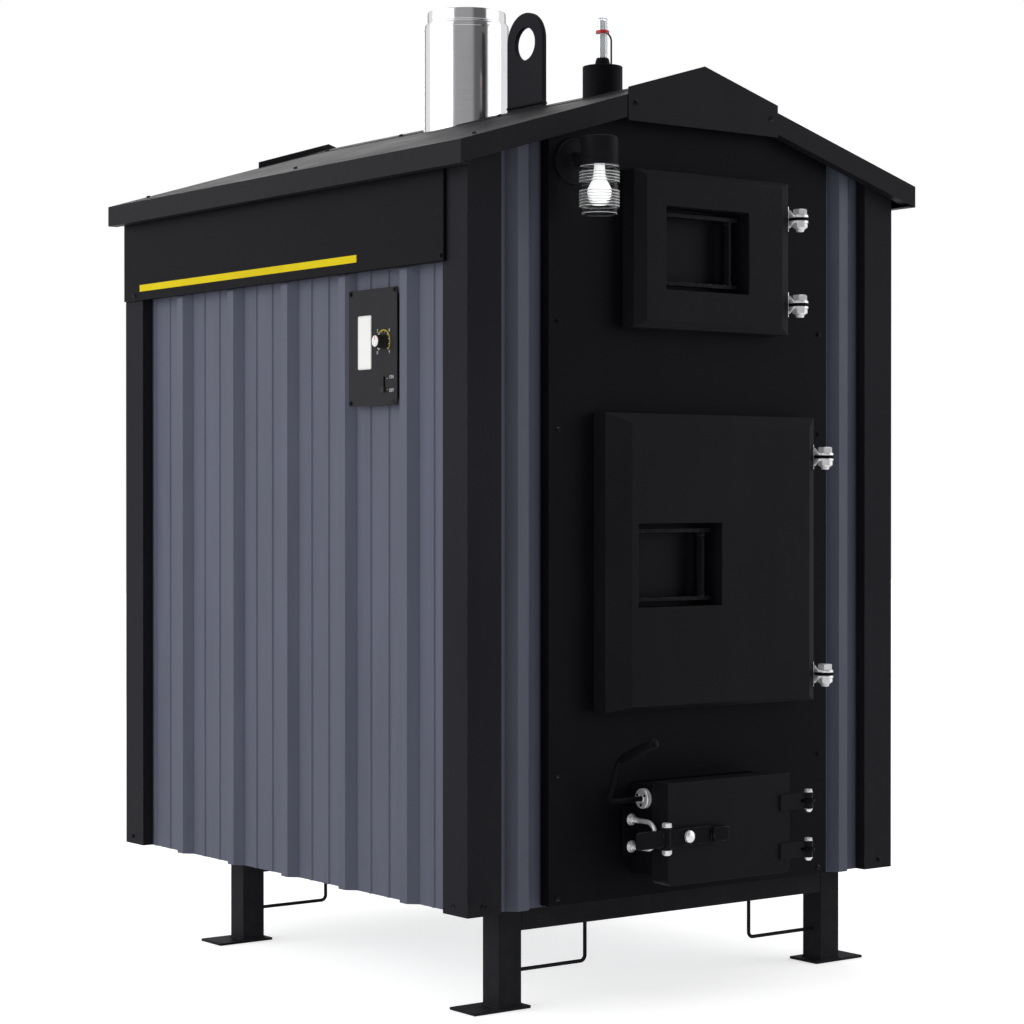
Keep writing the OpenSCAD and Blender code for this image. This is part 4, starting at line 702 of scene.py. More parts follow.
def islandsOf(node):  # the separate solids of a CAD node, each as its points and its faces
    bm = bmesh.new()
    bm.from_mesh(nodes[node].data)
    bmesh.ops.remove_doubles(bm, verts=bm.verts[:], dist=0.00002)
    seen, islands = set(), []
    for start in bm.verts:
        if start.index in seen:
            continue
        stack, found = [start], []
        seen.add(start.index)
        while stack:
            vertex = stack.pop()
            found.append(vertex)
            for edge in vertex.link_edges:
                other = edge.other_vert(vertex)
                if other.index not in seen:
                    seen.add(other.index)
                    stack.append(other)
        faces = {f for v in found for f in v.link_faces}
        islands.append(([v.co.copy() for v in found],
                        [(f.normal.copy(), f.calc_area(), f.calc_center_median()) for f in faces]))
    bm.free()
    return islands


print("helpers ready")


# cabinet: screws, stripe, welds and eased sheet edges
def makeScrews():
    screw = {"washer": 5.5, "washerHeight": 1.1, "across": 8.0, "height": 4.0, "chamfer": 0.7, "seed": 4}
    bm = bmesh.new()
    core = Vector((0, 0, 1.0))
    rng = random.Random(screw["seed"])
    for points, faces in islandsOf("panel_screws"):
        areas = {}
        for normal, area, centre in faces:
            key = tuple(round(c, 2) for c in normal)
            areas.setdefault(key, [0, normal, centre])[0] += area
        caps = sorted(areas.values(), key=lambda a: -a[0])[:2]  # the two ends; the far one shows
        head = max(caps, key=lambda a: (a[2] - core).length)[1]
        foot = sum(points, Vector()) / len(points) - head * screw["height"] / 2000
        addHex(bm, foot, head, screw["across"], screw["height"] - screw["washerHeight"], screw["chamfer"],
               screw["washer"], screw["washerHeight"], rng.random())
    dress("panelScrews", bm, "panel_screws", "handlePaint", 25)


def makeStripe():
    stripe = {"start": 386, "end": 1328, "low": 1541, "high": 1557, "proud": 0.35, "ease": 0.1}
    bm = bmesh.new()
    x = boxMm("header_boards")[1]
    for side in (-1, 1):
        spots = oblong(stripe["start"], stripe["end"], stripe["low"], stripe["high"])
        addPatch(bm, (side * x, 0, 0), spots, (side, 0, 0), stripe["proud"], stripe["ease"])
    settle("headerStripes", bm, "cabinet", "stripePaint")


def makeWelds():
    leg = {"bead": 3.2, "inset": 19, "tube": 57, "back": 8, "plateTop": 6.5}
    bm = bmesh.new()
    for node in legs:
        x0, x1, y0, y1, z0, z1 = boxMm(node)
        x = x1 - leg["inset"] - leg["tube"] if node.endswith("left") else x0 + leg["inset"]
        y = (y0 + y1) / 2 - leg["back"] - leg["tube"] / 2
        far = (x + leg["tube"], y + leg["tube"])
        corners = [at(*c, leg["plateTop"]) for c in ((x, y), (far[0], y), far, (x, far[1]))]
        for start, end in zip(corners, corners[1:] + corners[:1]):
            addBead(bm, start, end, leg["bead"])
    settle("legWelds", bm, "cabinet", "litPostPaint", (), 60)
    ear = {"bead": 2.4, "apart": 3.4, "fromHinge": 27, "inner": (37, 13.2), "outer": (2, 1.2)}
    lug = {"bead": 3.0, "apart": 7, "front": 519, "back": 651, "height": 1951}
    bm = bmesh.new()
    for node in ("fire_door_frame", "cleanout_door_frame"):
        x = boxMm(node)[1]
        low, high = boxMm(node.replace("_frame", "_hinges"))[4:]
        for z in (low + ear["fromHinge"], high - ear["fromHinge"]):
            for gap in (-ear["apart"], ear["apart"]):
                (inX, inY), (outX, outY) = ear["inner"], ear["outer"]
                addBead(bm, at(x - inX, inY, z + gap), at(x - outX, outY, z + gap), ear["bead"])
    for gap in (-lug["apart"], lug["apart"]):
        addBead(bm, at(gap, lug["front"], lug["height"]), at(gap, lug["back"], lug["height"]), lug["bead"])
    settle("earWelds", bm, "cabinet", "blackPaint", (), 60)


for easeRadius, easedNodes in ((1.6, (*legs, "cross_rails")), (1.4, ("header_boards",)), (0.6, ("gable_plates",)),
                               (1.6, ("lifting_lug",)), (0.8, ("control_plate",)),
                               (1.8, ("fire_door", "cleanout_door")),
                               (1.1, ("fire_door_hinges", "cleanout_door_hinges")),
                               (1.2, ("ash_door",)), (1.0, ("ash_neck",))):
    for nodeName in easedNodes:
        eased(nodeName, easeRadius)
makeScrews()
makeStripe()
makeWelds()
print("cabinet pieces made")


# chimney, vent and level gauge
def makeChimney():
    chimney = {"ring": 94.5, "flue": 79.0, "ringHeight": 31, "seamWidth": 9, "seam": 1.1, "around": 128}
    x0, x1, y0, y1, z0, top = boxMm("chimney_shell")
    r, q, flue = (x1 - x0) / 2, chimney["ring"], chimney["flue"]
    step = top - chimney["ringHeight"]
    origin = at(0, (y0 + y1) / 2, 0)
    wall = [(r - 2, z0), (r, z0), (r, z0 + 3), (r, step - 15), (r, step - 13), (r + 0.45, step - 12),
            (r + 0.45, step - 10.6), (r, step - 9.6), (r, step - 8), (r, step - 3), (r - 0.8, step - 1),
            (r - 2.4, step - 0.2)]
    collar = [(q + 2.4, step), (q + 2.9, step + 1.2), (q + 2.9, step + 3), (q + 2.2, step + 4.4),
              (q + 0.4, step + 4.8), (q, step + 5.6), (q, step + 7), (q, top - 4.2), (q, top - 2.6),
              (q - 0.7, top - 0.9), (q - 2.1, top - 0.3), (q - 3.4, top - 1.2), (q - 3.6, top - 5)]
    mouth = [(q - 5, top - 6), (flue + 3, top - 6), (flue + 1, top - 5), (flue, top - 3.2), (flue, top - 12)]
    bm = bmesh.new()
    addLathe(bm, origin, (0, 0, 1), wall + collar + mouth, chimney["around"], ends=False)
    half = chimney["seamWidth"] / 2
    seam = [origin + Vector((x, r + 0.15, z)) / 1000 for x, z in oblong(-half, half, z0 + 2, step - 26)]
    addPlate(bm, seam, (0, 1, 0), chimney["seam"], 0.4)
    dress("chimneyShell", bm, "chimney_shell", "stainless", 35)


def makeVentCap():
    cap = {"hubHeight": 19, "hubFoot": 18, "hubTop": 13.6, "bore": 11.05, "around": 72}
    x0, x1, y0, y1, z0, z1 = boxMm("vent_cap")
    r, foot, hub, bore, top = (x1 - x0) / 2, cap["hubFoot"], cap["hubTop"], cap["bore"], z1 - cap["hubHeight"]
    rim = [(r - 5, top - 22), (r - 4.4, top - 8.2), (r - 0.8, top - 8), (r, top - 7.2), (r, top - 1.6),
           (r - 0.8, top - 0.4), (r - 2.2, top), (foot + 3, top + 0.2)]
    cone = [(foot, top + 2), (hub + 0.9, top + 16), (hub, top + 18.4), (hub - 1, top + 19),
            (bore + 0.15, top + 19), (bore, top + 17), (bore, top + 1)]
    bm = bmesh.new()
    addLathe(bm, at(0, (y0 + y1) / 2, 0), (0, 0, 1), rim + cone, cap["around"])
    dress("ventCap", bm, "vent_cap", "blackPaint", 35)


def makeGauge():
    tube = {"outer": 11, "inner": 9.6, "hole": 3}
    x0, x1, y0, y1, z0, z1 = boxMm("gauge_tube")
    middle = (y0 + y1) / 2
    origin = at(0, middle, 0)
    r, q, hole = tube["outer"], tube["inner"], tube["hole"]
    bm = bmesh.new()
    addLathe(bm, origin, (0, 0, 1), [(q - 1, z0), (r, z0), (r, z1 - 2), (r - 0.8, z1 - 0.4), (r - 2, z1),
                                     (hole + 0.2, z1), (hole, z1 - 0.5), (hole, z1 - 2.5), (q - 1, z1 - 3),
                                     (q, z1 - 4), (q, z0 + 3), (q - 1, z0 + 2)])
    dress("gaugeTube", bm, "gauge_tube", "clearTube", 35)
    scale = {"width": 15.5, "short": 9, "corner": 2, "thick": 1.2, "ease": 0.3}
    bm = bmesh.new()
    outline = roundedOutline(at(0, middle - 1, (z0 + z1) / 2), rightward, scale["width"],
                             z1 - z0 - scale["short"], scale["corner"])
    addPlate(bm, outline, (0, 1, 0), scale["thick"], scale["ease"])
    settle("gaugeScale", bm, "cabinet", "scalePlastic")
    tick = {"pitch": 4, "longEach": 5, "from": -6.5, "long": 7.5, "short": 4, "height": 0.8, "margin": 10}
    bm = bmesh.new()
    for i in range(int((z1 - z0 - 2 * tick["margin"]) / tick["pitch"]) + 1):
        z = z0 + tick["margin"] + i * tick["pitch"]
        end = tick["from"] + (tick["short"] if i % tick["longEach"] else tick["long"])
        spots = oblong(tick["from"], end, z, z + tick["height"])
        addPlate(bm, [at(x, middle - 1, height) for x, height in spots], (0, -1, 0), 0.25, 0.05)
    settle("gaugeTicks", bm, "cabinet", "blackPlastic")
    pointer = {"bore": 11.4, "r": 15, "fromTop": 9}
    drum = {"core": 24, "r": 32}
    wire = {"x": 25, "r": 2.0, "bend": 7, "foot": 46}
    low, top = boxMm("float_rod")[4:]
    mark, bore, r = top - pointer["fromTop"], pointer["bore"], pointer["r"]
    profile = [(bore, 3.2), (bore + 0.5, 2.6), (r - 0.6, 2.6), (r, 3.2), (r, 5.4), (r - 0.4, 5.8), (r, 6.2), (r, 8.4),
               (r - 0.6, 9), (bore + 0.5, 9), (bore, 8.4), (bore, 3.2)]
    bm = bmesh.new()
    addLathe(bm, origin, (0, 0, 1), [(radius, mark + z) for radius, z in profile], 56, ends=False)
    dress("levelPointer", bm, "float_rod", "redPlastic", 35)
    bm = bmesh.new()
    corners = [at(wire["x"], middle, low + wire["foot"]), at(wire["x"], middle, mark - 4), at(15.5, middle, mark + 4.5)]
    addTube(bm, smoothPath(corners, wire["bend"]), wire["r"], 12)
    settle("floatWire", bm, "float", "handlePaint")
    core, r = drum["core"], drum["r"]
    profile = [(core, 0), (r - 2, 1.5), (r, 6), (r, 22), (r - 1, 25), (r, 28), (r, 44), (r - 2, 48.5), (core, 50)]
    bm = bmesh.new()
    addLathe(bm, origin, (0, 0, 1), [(radius, low + z) for radius, z in profile])
    settle("floatDrum", bm, "float", "redPlastic")


makeChimney()
makeVentCap()
makeGauge()
print("chimney and gauge made")


# wall light
def makeHolder():
    lamp = {"plate": 49.0, "arm": 14.0, "armEnd": 30, "holder": 38.5, "drop": 18.0, "height": 60, "socket": 12}
    x, y = middleOf("light_jar")[:2]
    z = middleOf("light_fixture")[2]
    r, arm = lamp["plate"], lamp["arm"]
    bm = bmesh.new()
    addLathe(bm, at(x, 0, z), (0, -1, 0), [(r, 0), (r, 2.4), (r - 1.2, 4), (r - 4, 4.8), (r - 6, 4.4), (r - 8, 5.4),
                                          (34, 6.6), (22, 7), (18, 7.6), (16.5, 10), (arm, 13),
                                          (arm, -y - lamp["armEnd"])], 72)
    settle("lightPlate", bm, "cabinet", "doorPaint", (), 35)
    low, r = z - lamp["drop"], lamp["holder"]
    high = low + lamp["height"]
    bm = bmesh.new()
    addLathe(bm, at(x, y, 0), (0, 0, 1), [(lamp["socket"], low + 12), (lamp["socket"], low + 0.6), (r - 3.5, low + 0.2),
                                         (r - 1, low + 0.6), (r, low + 1.8), (r, low + 9), (r - 0.7, low + 10),
                                         (r, low + 11), (r, high - 6), (r - 1, high - 2.6), (r - 4, high - 0.7),
                                         (r - 9, high)], 72)
    dress("lampHolder", bm, "light_fixture", "doorPaint", 35)


def makeJar():
    jar = {"ribs": (1703, 1697, 1691, 1685, 1665, 1659, 1653, 1647, 1641, 1635), "rib": 1.9, "ribHalf": 2.6,
           "wall": 4.2, "step": 0.75, "around": 96, "crown": 1.0}
    x0, x1, y0, y1, z0, z1 = boxMm("light_jar")
    x, y = (x0 + x1) / 2, (y0 + y1) / 2
    inner, outer = (x1 - x0) / 2 - jar["wall"], (x1 - x0) / 2 - jar["rib"]
    wall = [(0.4, z0 + 4), (inner - 9, z0 + 4), (inner - 2.5, z0 + 7), (inner, z0 + 13), (inner, z1 - 1),
            (inner + 0.8, z1 - 0.2), (inner + 2, z1 - 0.2), (inner + 2.6, z1 - 1)]
    z = z1 - 2
    while z > z0 + 13:  # pressed rings in two bands round a smooth waist
        near = min(1.0, min(abs(z - ribZ) for ribZ in jar["ribs"]) / jar["ribHalf"])
        wall.append((outer + jar["rib"] * max(0.0, math.cos(near * math.pi / 2)) ** 1.2, z))
        z -= jar["step"]
    wall += [(outer - 0.6, z0 + 11), (outer - 3.2, z0 + 5), (outer - 7, z0 + 1.2), (outer - 11, z0), (0.4, z0)]
    bm = bmesh.new()
    addLathe(bm, at(x, y, 0), (0, 0, 1), wall, 72)
    dress("lightJar", bm, "light_jar", "jarGlass", 50)
    bm = bmesh.new()
    rings = [(ribZ, outer + 0.3) for ribZ in jar["ribs"]] + [(z1 - 2, outer - 1), (z0 + 3.5, outer - 4.5)]
    for ringZ, r in rings:  # painted highlights: whiter, cloudier glass ropes laid at the crowns of the pressed rings, the mouth and the foot, standing in for the light they catch
        angles = [math.tau * k / jar["around"] for k in range(jar["around"])]
        addRope(bm, [at(x + r * math.cos(a), y + r * math.sin(a), ringZ) for a in angles], jar["crown"], 8)
    settle("jarRingHighlights", bm, "cabinet", "ringHighlightGlass", (), 60)


def makeBulb():
    bulb = {"cap": 10.9, "neck": 12, "r": 24.6, "round": 26, "shoulder": 30, "steps": 8}
    low, high = boxMm("light_bulb")[4:]
    x, y = middleOf("light_jar")[:2]
    widest, shoulder = low + bulb["round"], high - bulb["shoulder"]
    profile = [(bulb["cap"], high), (bulb["cap"], high - 22), (bulb["cap"] + 0.5, high - 26)]
    for i in range(bulb["steps"] + 1):  # neck swelling into the round end
        t = i / bulb["steps"]
        swell = (bulb["r"] - bulb["neck"]) * (0.5 - 0.5 * math.cos(math.pi * t))
        profile.append((bulb["neck"] + swell, shoulder - (shoulder - widest) * t))
    for i in range(1, 10):
        angle = math.pi / 2 * i / 9
        profile.append((max(0.4, bulb["r"] * math.cos(angle)), widest - bulb["round"] * math.sin(angle)))
    bm = bmesh.new()
    addLathe(bm, at(x, y, 0), (0, 0, 1), profile, 56)
    dress("lightBulb", bm, "light_bulb", "bulbGlass", 60)


makeHolder()
makeJar()
makeBulb()
print("light made")


# doors: handles, gaskets and hinge bolts
def makeHandle(node, name):
    handle = {"pivot": 10.0, "arm": 9.0, "half": 8.0, "ease": 1.1, "past": 28.0, "grip": 11.5}
    x0, x1, y0, y1, z0, z1 = boxMm(node)
    r, half, arm, g = handle["pivot"], handle["half"], handle["arm"], handle["grip"]
    pivotX, neck, y = x0 + r, x0 + r + 14, (y0 + y1) / 2
    roundEnd = [math.radians(90 + 15 * k) for k in range(13)]
    spots = [(pivotX + r * math.cos(a), y + r * math.sin(a)) for a in roundEnd]
    spots += [(neck, y - half), (x1 - 4, y - half), (x1 - 1, y - half + 1.2), (x1, y - half + 4),
              (x1, y + half - 4), (x1 - 1, y + half - 1.2), (x1 - 4, y + half), (neck, y + half)]
    bm = bmesh.new()
    for low, inward in ((z0, 1), (z1 - arm, -1)):
        addPlate(bm, [at(*spot, low) for spot in spots], (0, 0, 1), arm, handle["ease"])
        face = low + arm if inward > 0 else low  # where a boss goes round the pivot pin
        addLathe(bm, at(pivotX, y, face), (0, 0, inward), [(8.6, -1), (8.6, 2.2), (7.8, 3)], 28)
    a, b = z0 + arm - 1, z1 - arm + 1
    waist = ((1, 0), (0, 1.5), (0, 7), (1.4, 9), (1.6, 12), (0.6, 22))  # how far in, from either end
    profile = [(g - inset, a + along) for inset, along in waist] + [(g - 0.3, (a + b) / 2)]
    profile += [(g - inset, b - along) for inset, along in reversed(waist)]
    addLathe(bm, at(x1 - handle["past"], y, 0), (0, 0, 1), profile, 40)
    dress(name, bm, node, "handlePaint", 28)


def ropeLoop(x0, x1, y, z0, z1, corner):  # points along a rectangle with round corners
    rope = {"pitch": 4, "turns": 7}
    points = []
    centres = [(x1 - corner, z1 - corner, 0), (x0 + corner, z1 - corner, 90),
               (x0 + corner, z0 + corner, 180), (x1 - corner, z0 + corner, 270)]
    for (cx, cz, start), (nx, nz, after) in zip(centres, centres[1:] + centres[:1]):
        for k in range(rope["turns"] + 1):
            angle = math.radians(start + 90 * k / rope["turns"])
            points.append(at(cx + corner * math.cos(angle), y, cz + corner * math.sin(angle)))
        begin, angle = points[-1], math.radians(after)
        end = at(nx + corner * math.cos(angle), y, nz + corner * math.sin(angle))
        count = int((end - begin).length * 1000 / rope["pitch"])
        points += [begin.lerp(end, j / count) for j in range(1, count)]
    return points


def makeGasket(node, name):  # a braided rope, whose crossing strands sink and swell
    gasket = {"count": 20, "lay": 0.11, "strands": 5, "groove": 0.7, "corner": 16.0}
    x0, x1, y0, y1, z0, z1 = boxMm(node)
    radius = (y1 - y0) / 2
    points = ropeLoop(x0 + radius, x1 - radius, (y0 + y1) / 2, z0 + radius, z1 - radius, gasket["corner"])
    bm = bmesh.new()
    side = Vector((0, 1, 0))
    loops, travelled = [], 0.0
    for i, point in enumerate(points):
        up = (points[(i + 1) % len(points)] - points[i - 1]).normalized().cross(side)
        travelled += (point - points[i - 1]).length * 1000
        loop = []
        for k in range(gasket["count"]):
            angle = math.tau * k / gasket["count"]
            strand, lay = gasket["strands"] / 2 * angle, gasket["lay"] * travelled
            twist = abs(math.sin(strand + lay)) * abs(math.cos(strand - lay))
            r = radius - gasket["groove"] * (1 - twist)
            loop.append(bm.verts.new(point + (side * math.cos(angle) + up * math.sin(angle)) * r / 1000))
        loops.append(loop)
    joinLoops(bm, loops + loops[:1], False)
    dress(name, bm, node, "gasketRope", 80)


def threadProfile(radius, start, end, pitch):  # ridges along a threaded end
    thread = {"depth": 0.75, "tip": 1.8, "taper": 1.4}
    profile = []
    along = start
    while along < end - pitch:
        profile += [(radius - thread["depth"], along), (radius, along + pitch / 2)]
        along += pitch
    return profile + [(radius - thread["depth"], end - thread["taper"]), (radius - thread["tip"], end)]


def makeHingeBolts():
    large = {"r": 9.5, "across": 28.6, "head": 12.8, "nut": 13.8, "reach": 9.0, "washer": 16.2}
    small = {"r": 5.0, "across": 15.6, "head": 6.7, "nut": 7.2, "reach": 17.5, "washer": 9.4}
    widest = 24  # of a small bolt
    bm = bmesh.new()
    for points, faces in islandsOf("hinge_bolts"):
        xs, ys, zs = ([p[k] * 1000 for p in points] for k in range(3))
        x, y = (min(xs) + max(xs)) / 2, (min(ys) + max(ys)) / 2 - frontY * 1000
        bolt = large if max(xs) - min(xs) > widest else small
        r, across, head, nut, reach, washer = bolt.values()
        z = max(zs) - reach - head
        tail = z - min(zs)
        addLathe(bm, at(x, y, z), (0, 0, 1), [(r - 0.06, -reach - 2), (r - 0.06, reach + 2)], 32)
        addHex(bm, at(x, y, z + reach), (0, 0, 1), across, head - 1.2, 1.6, washer, 1.2, 0.4)
        addHex(bm, at(x, y, z - reach), (0, 0, -1), across, nut - 4.5, 1.5, washer, 1.2, 0.9)
        addLathe(bm, at(x, y, z - reach - nut + 4), (0, 0, -1),
                 [(across * 0.44, 0), (across * 0.43, 1.8), (across * 0.37, 3.4), (r + 0.3, 3.9)], 32)
        if tail > reach + nut:
            addLathe(bm, at(x, y, z), (0, 0, -1), threadProfile(r - 0.1, reach + nut - 1, tail, 1.8), 32)
    dress("hingeBolts", bm, "hinge_bolts", "zinc", 28)


makeHandle("fire_door_handle", "fireDoorGrip")
makeHandle("cleanout_door_handle", "cleanoutDoorGrip")
makeGasket("fire_door_gasket", "fireDoorRope")
makeGasket("cleanout_door_gasket", "cleanoutDoorRope")
makeGasket("ash_door_gasket", "ashDoorRope")
makeHingeBolts()
print("door pieces made")


# ash door latch, U-bolt and shaker
def makeLatch():
    lever = {"pivot": 80, "end": 7.0, "finger": 42.0, "back": 8.0, "thick": 6.0, "boss": 10.0,
             "stud": 13.0, "studOut": 60.0}
    x0, x1, y0, y1, z0, z1 = boxMm("ash_latch_lever")
    r, thick, long, back = lever["boss"], lever["thick"], lever["finger"], lever["back"]
    pivotX, barY, z = x0 + lever["pivot"], y1 - r - thick / 2, (z0 + z1) / 2
    bm = bmesh.new()
    bar = roundedOutline(at((x0 + x1 - long) / 2, barY, z), rightward, x1 - long - x0, z1 - z0, lever["end"])
    addPlate(bm, bar, (0, 1, 0), thick, 1.0)
    finger = roundedOutline(at(x1 - long / 2 - 1, barY - back, z), rightward, long + 2, z1 - z0 - 6, 5)
    addPlate(bm, finger, (0, 1, 0), thick + back, 1.6)
    addLathe(bm, at(pivotX, barY + thick / 2, 0), (0, 0, 1),
             [(r - 1, z0 + 0.4), (r, z0 + 1.4), (r, z1 - 1.4), (r - 1, z1 - 0.4)], 36)
    dress("latchLever", bm, "ash_latch_lever", "handlePaint", 28)
    r = lever["stud"]
    profile = [(r - 1, -1), (r, -0.2), (r, 2.6), (r - 0.8, 4.6), (r - 3.4, 6.6), (r - 7, 7.7),
               (2.2, 8), (1.6, 7.2), (0.4, 7)]
    bm = bmesh.new()
    addLathe(bm, at(pivotX + lever["studOut"], barY, z), (0, -1, 0), profile, 40)
    settle("leverStud", bm, "ash_lever", "zinc", (), 30)
    pin = {"half": 23.4, "across": 18.2, "height": 7.6, "chamfer": 1.2, "washer": 10.4, "washerHeight": 1.2}
    size = (pin["across"], pin["height"], pin["chamfer"], pin["washer"], pin["washerHeight"])
    bm = bmesh.new()
    addHex(bm, at(pivotX, barY, z + pin["half"]), (0, 0, 1), *size, 0.35)
    addHex(bm, at(pivotX, barY, z - pin["half"]), (0, 0, -1), *size, 0.8)
    addLathe(bm, at(pivotX, barY, z - pin["half"] - 8), (0, 0, -1), [(8.4, 0), (7.6, 2.0), (5.8, 3.2), (4.6, 3.5)], 32)
    settle("leverPivotBolt", bm, "ash_door", "zinc", (), 30)


def makeUBolt():
    bolt = {"r": 5.0, "height": 348.0, "half": 28.0, "plate": (-16, -10), "thread": (-24, 18, 1.5)}
    nut = {"across": 16.5, "height": 7.1, "chamfer": 1.1, "washer": 12.5, "washerHeight": 1.4, "turn": 0.3}
    x0, x1, y0, y1, z0, z1 = boxMm("ash_u_bolt")
    x, z, half = (x0 + x1) / 2, bolt["height"], bolt["half"]
    bend = y0 + bolt["r"] + half
    points = [at(x, y1, z + half), at(x, bend + 4, z + half)]
    points += [at(x, bend - half * math.sin(math.pi * k / 18), z + half * math.cos(math.pi * k / 18))
               for k in range(19)]
    points += [at(x, bend + 4, z - half), at(x, y1, z - half)]
    bm = bmesh.new()
    addTube(bm, points, bolt["r"], 20)
    front, back = bolt["plate"]
    threadFrom, threadLength, pitch = bolt["thread"]
    for end in (z - half, z + half):
        addHex(bm, at(x, front, end), (0, -1, 0), *nut.values())
        addHex(bm, at(x, back, end), (0, 1, 0), *nut.values())
        addLathe(bm, at(x, threadFrom, end), (0, -1, 0), threadProfile(bolt["r"] + 0.25, 0, threadLength, pitch), 24)
    dress("keeperUBolt", bm, "ash_u_bolt", "zinc", 28)


def makeShaker():
    crank = {"r": 5.5, "bend": 15.0, "lean": 29.0, "rise": 84.0, "tilt": 21.8, "grip": 11.0, "gripEnd": 128.0,
             "clear": 26, "arm": 68.0, "armThick": 8, "pin": 60}
    hubOut, hubIn = boxMm("shaker_hub")[:2]
    y, z = middleOf("shaker_hub")[1:]
    g, end, arm = crank["grip"], crank["gripEnd"], crank["arm"]
    outX, inX = boxMm("shaker_crank")[0] + g, hubIn + crank["clear"]
    top = at(outX, y - crank["lean"], z + crank["rise"])
    angle = math.radians(crank["tilt"])
    direction = Vector((0, -math.cos(angle), math.sin(angle)))
    bm = bmesh.new()
    path = smoothPath([at(inX + 8, y, z), at(outX, y, z), top, top + direction * 0.03], crank["bend"], 8)
    addTube(bm, path, crank["r"], 20)
    addLathe(bm, top, direction, [(5.6, 8), (6.6, 10), (7.4, 13), (8.8, 19), (10.2, 25), (g - 0.2, 30), (g, 36),
                                  (g, end - 8), (g - 0.5, end - 4), (g - 2, end - 1.2), (g - 4.5, end)], 40)
    spots = ((-8, 6), (-6, 8), (6, 8), (8, 6), (8, 2 - arm), (6, -arm), (-6, -arm), (-8, 2 - arm))
    addPatch(bm, (inX, y, z), spots, (1, 0, 0), crank["armThick"], 0.9)
    addLathe(bm, at(inX + 7, y, z - crank["pin"]), (1, 0, 0), [(5, 0), (5, 17), (4.2, 18)], 24)
    dress("shakerCrank", bm, "shaker_crank", "handlePaint", 30)
    hub = {"r": 21.0, "bore": 5.7, "screws": (30, 150, 270), "screwsOut": 13.5}
    r, bore, out = hub["r"], hub["bore"], hub["screwsOut"]
    profile = [(bore, 0.2), (r - 1.5, 0.2), (r, 0.6), (r, 4), (r - 0.6, 4.8), (r, 5.6), (r, 9.6), (r - 1.4, 11.4),
               (r - 3.6, 12), (11, 12), (9.6, 10.8), (8, 10.8), (6.6, 12), (bore, 11.4), (bore, 0.2)]
    bm = bmesh.new()
    addLathe(bm, at(hubIn, y, z), (-1, 0, 0), profile, 60, ends=False)
    dress("shakerHub", bm, "shaker_hub", "zinc", 30)
    bm = bmesh.new()
    for a in map(math.radians, hub["screws"]):
        place = at(hubOut + 0.6, y + out * math.cos(a), z + out * math.sin(a))
        addHex(bm, place, (-1, 0, 0), 5.0, 2.0, 0.5, 3.4, 0.6, a)
    settle("hubScrews", bm, "cabinet", "blackPaint", (), 28)


makeLatch()
makeUBolt()
makeShaker()
print("latch and shaker made")


# control plate: knob, switch, display and printed marks
leftFace = boxMm("control_plate")[0]


def wallText(words, y, z, height):  # raised print on the left wall, read from outside
    raised = 0.09
    curve = bpy.data.curves.new("print", "FONT")
    curve.body = words
    curve.size = height / 1000
    curve.extrude = raised / 1000
    curve.align_x = curve.align_y = "CENTER"
    mesh = meshOf(addObject("helper", curve))
    spot = at(leftFace - raised, y, z)
    mesh.transform(Matrix(((0, 0, -1, spot.x), (-1, 0, 0, spot.y), (0, 1, 0, spot.z), (0, 0, 0, 1))))
    return mesh


def joinMeshes(name, meshes):
    bm = bmesh.new()
    for mesh in meshes:
        bm.from_mesh(mesh)
        bpy.data.meshes.remove(mesh)
    bmesh.ops.remove_doubles(bm, verts=bm.verts[:], dist=0.000004)
    return plainMesh(name, bm)


def makeKnob():
    knob = {"into": 0.4, "flutes": 20, "fluteDepth": 0.9}
    x, (y, z) = leftFace - knob["into"], middleOf("thermostat_knob")[1:]
    bm = bmesh.new()
    addLathe(bm, at(x, y, z), (-1, 0, 0), [(14.2, 0), (15, 0.8), (15, 4), (14.4, 5)], 60)
    addLathe(bm, at(x, y, z), (-1, 0, 0), [(13.9, 4.5), (13.9, 6), (13.6, 19), (13.0, 20.4), (12.0, 21)], 120,
             knob["flutes"], knob["fluteDepth"])
    dress("knobBody", bm, "thermostat_knob", "blackPlastic", 40)
    bm = bmesh.new()
    addLathe(bm, at(x - 20.6, y, z), (-1, 0, 0), [(11.6, 0), (11.6, 0.5), (11, 0.9), (3, 0.95)])
    settle("knobCap", bm, "knob", "whitePlastic", (), 40)
    bm = bmesh.new()
    addPatch(bm, (x - 21.5, y, z), oblong(-0.8, 0.8, 2, 10.6), (-1, 0, 0), 0.3, 0.08)
    settle("knobMark", bm, "knob", "redPlastic")


def makeSwitch():
    ridge = {"count": 4, "low": -3.9, "pitch": 2.2, "height": 1.2}
    y, z = middleOf("power_switch")[1:]
    bm = bmesh.new()
    addPlate(bm, roundedOutline(at(leftFace - 0.4, y, z), outward, 13.6, 9.8, 1.4), (-1, 0, 0), 4.6, 0.5)
    for k in range(ridge["count"]):
        low = z + ridge["low"] + ridge["pitch"] * k
        addPatch(bm, (leftFace - 4.6, y, low), oblong(-6, 6, 0, ridge["height"]), (-1, 0, 0), 2.6, 0.4)
    addPatch(bm, (leftFace + 0.4, y, z), oblong(-2.8, 2.8, -4.4, 4.4), (1, 0, 0), 3, 0.3)
    dress("switchSlider", bm, "power_switch", "blackPlastic", 40)


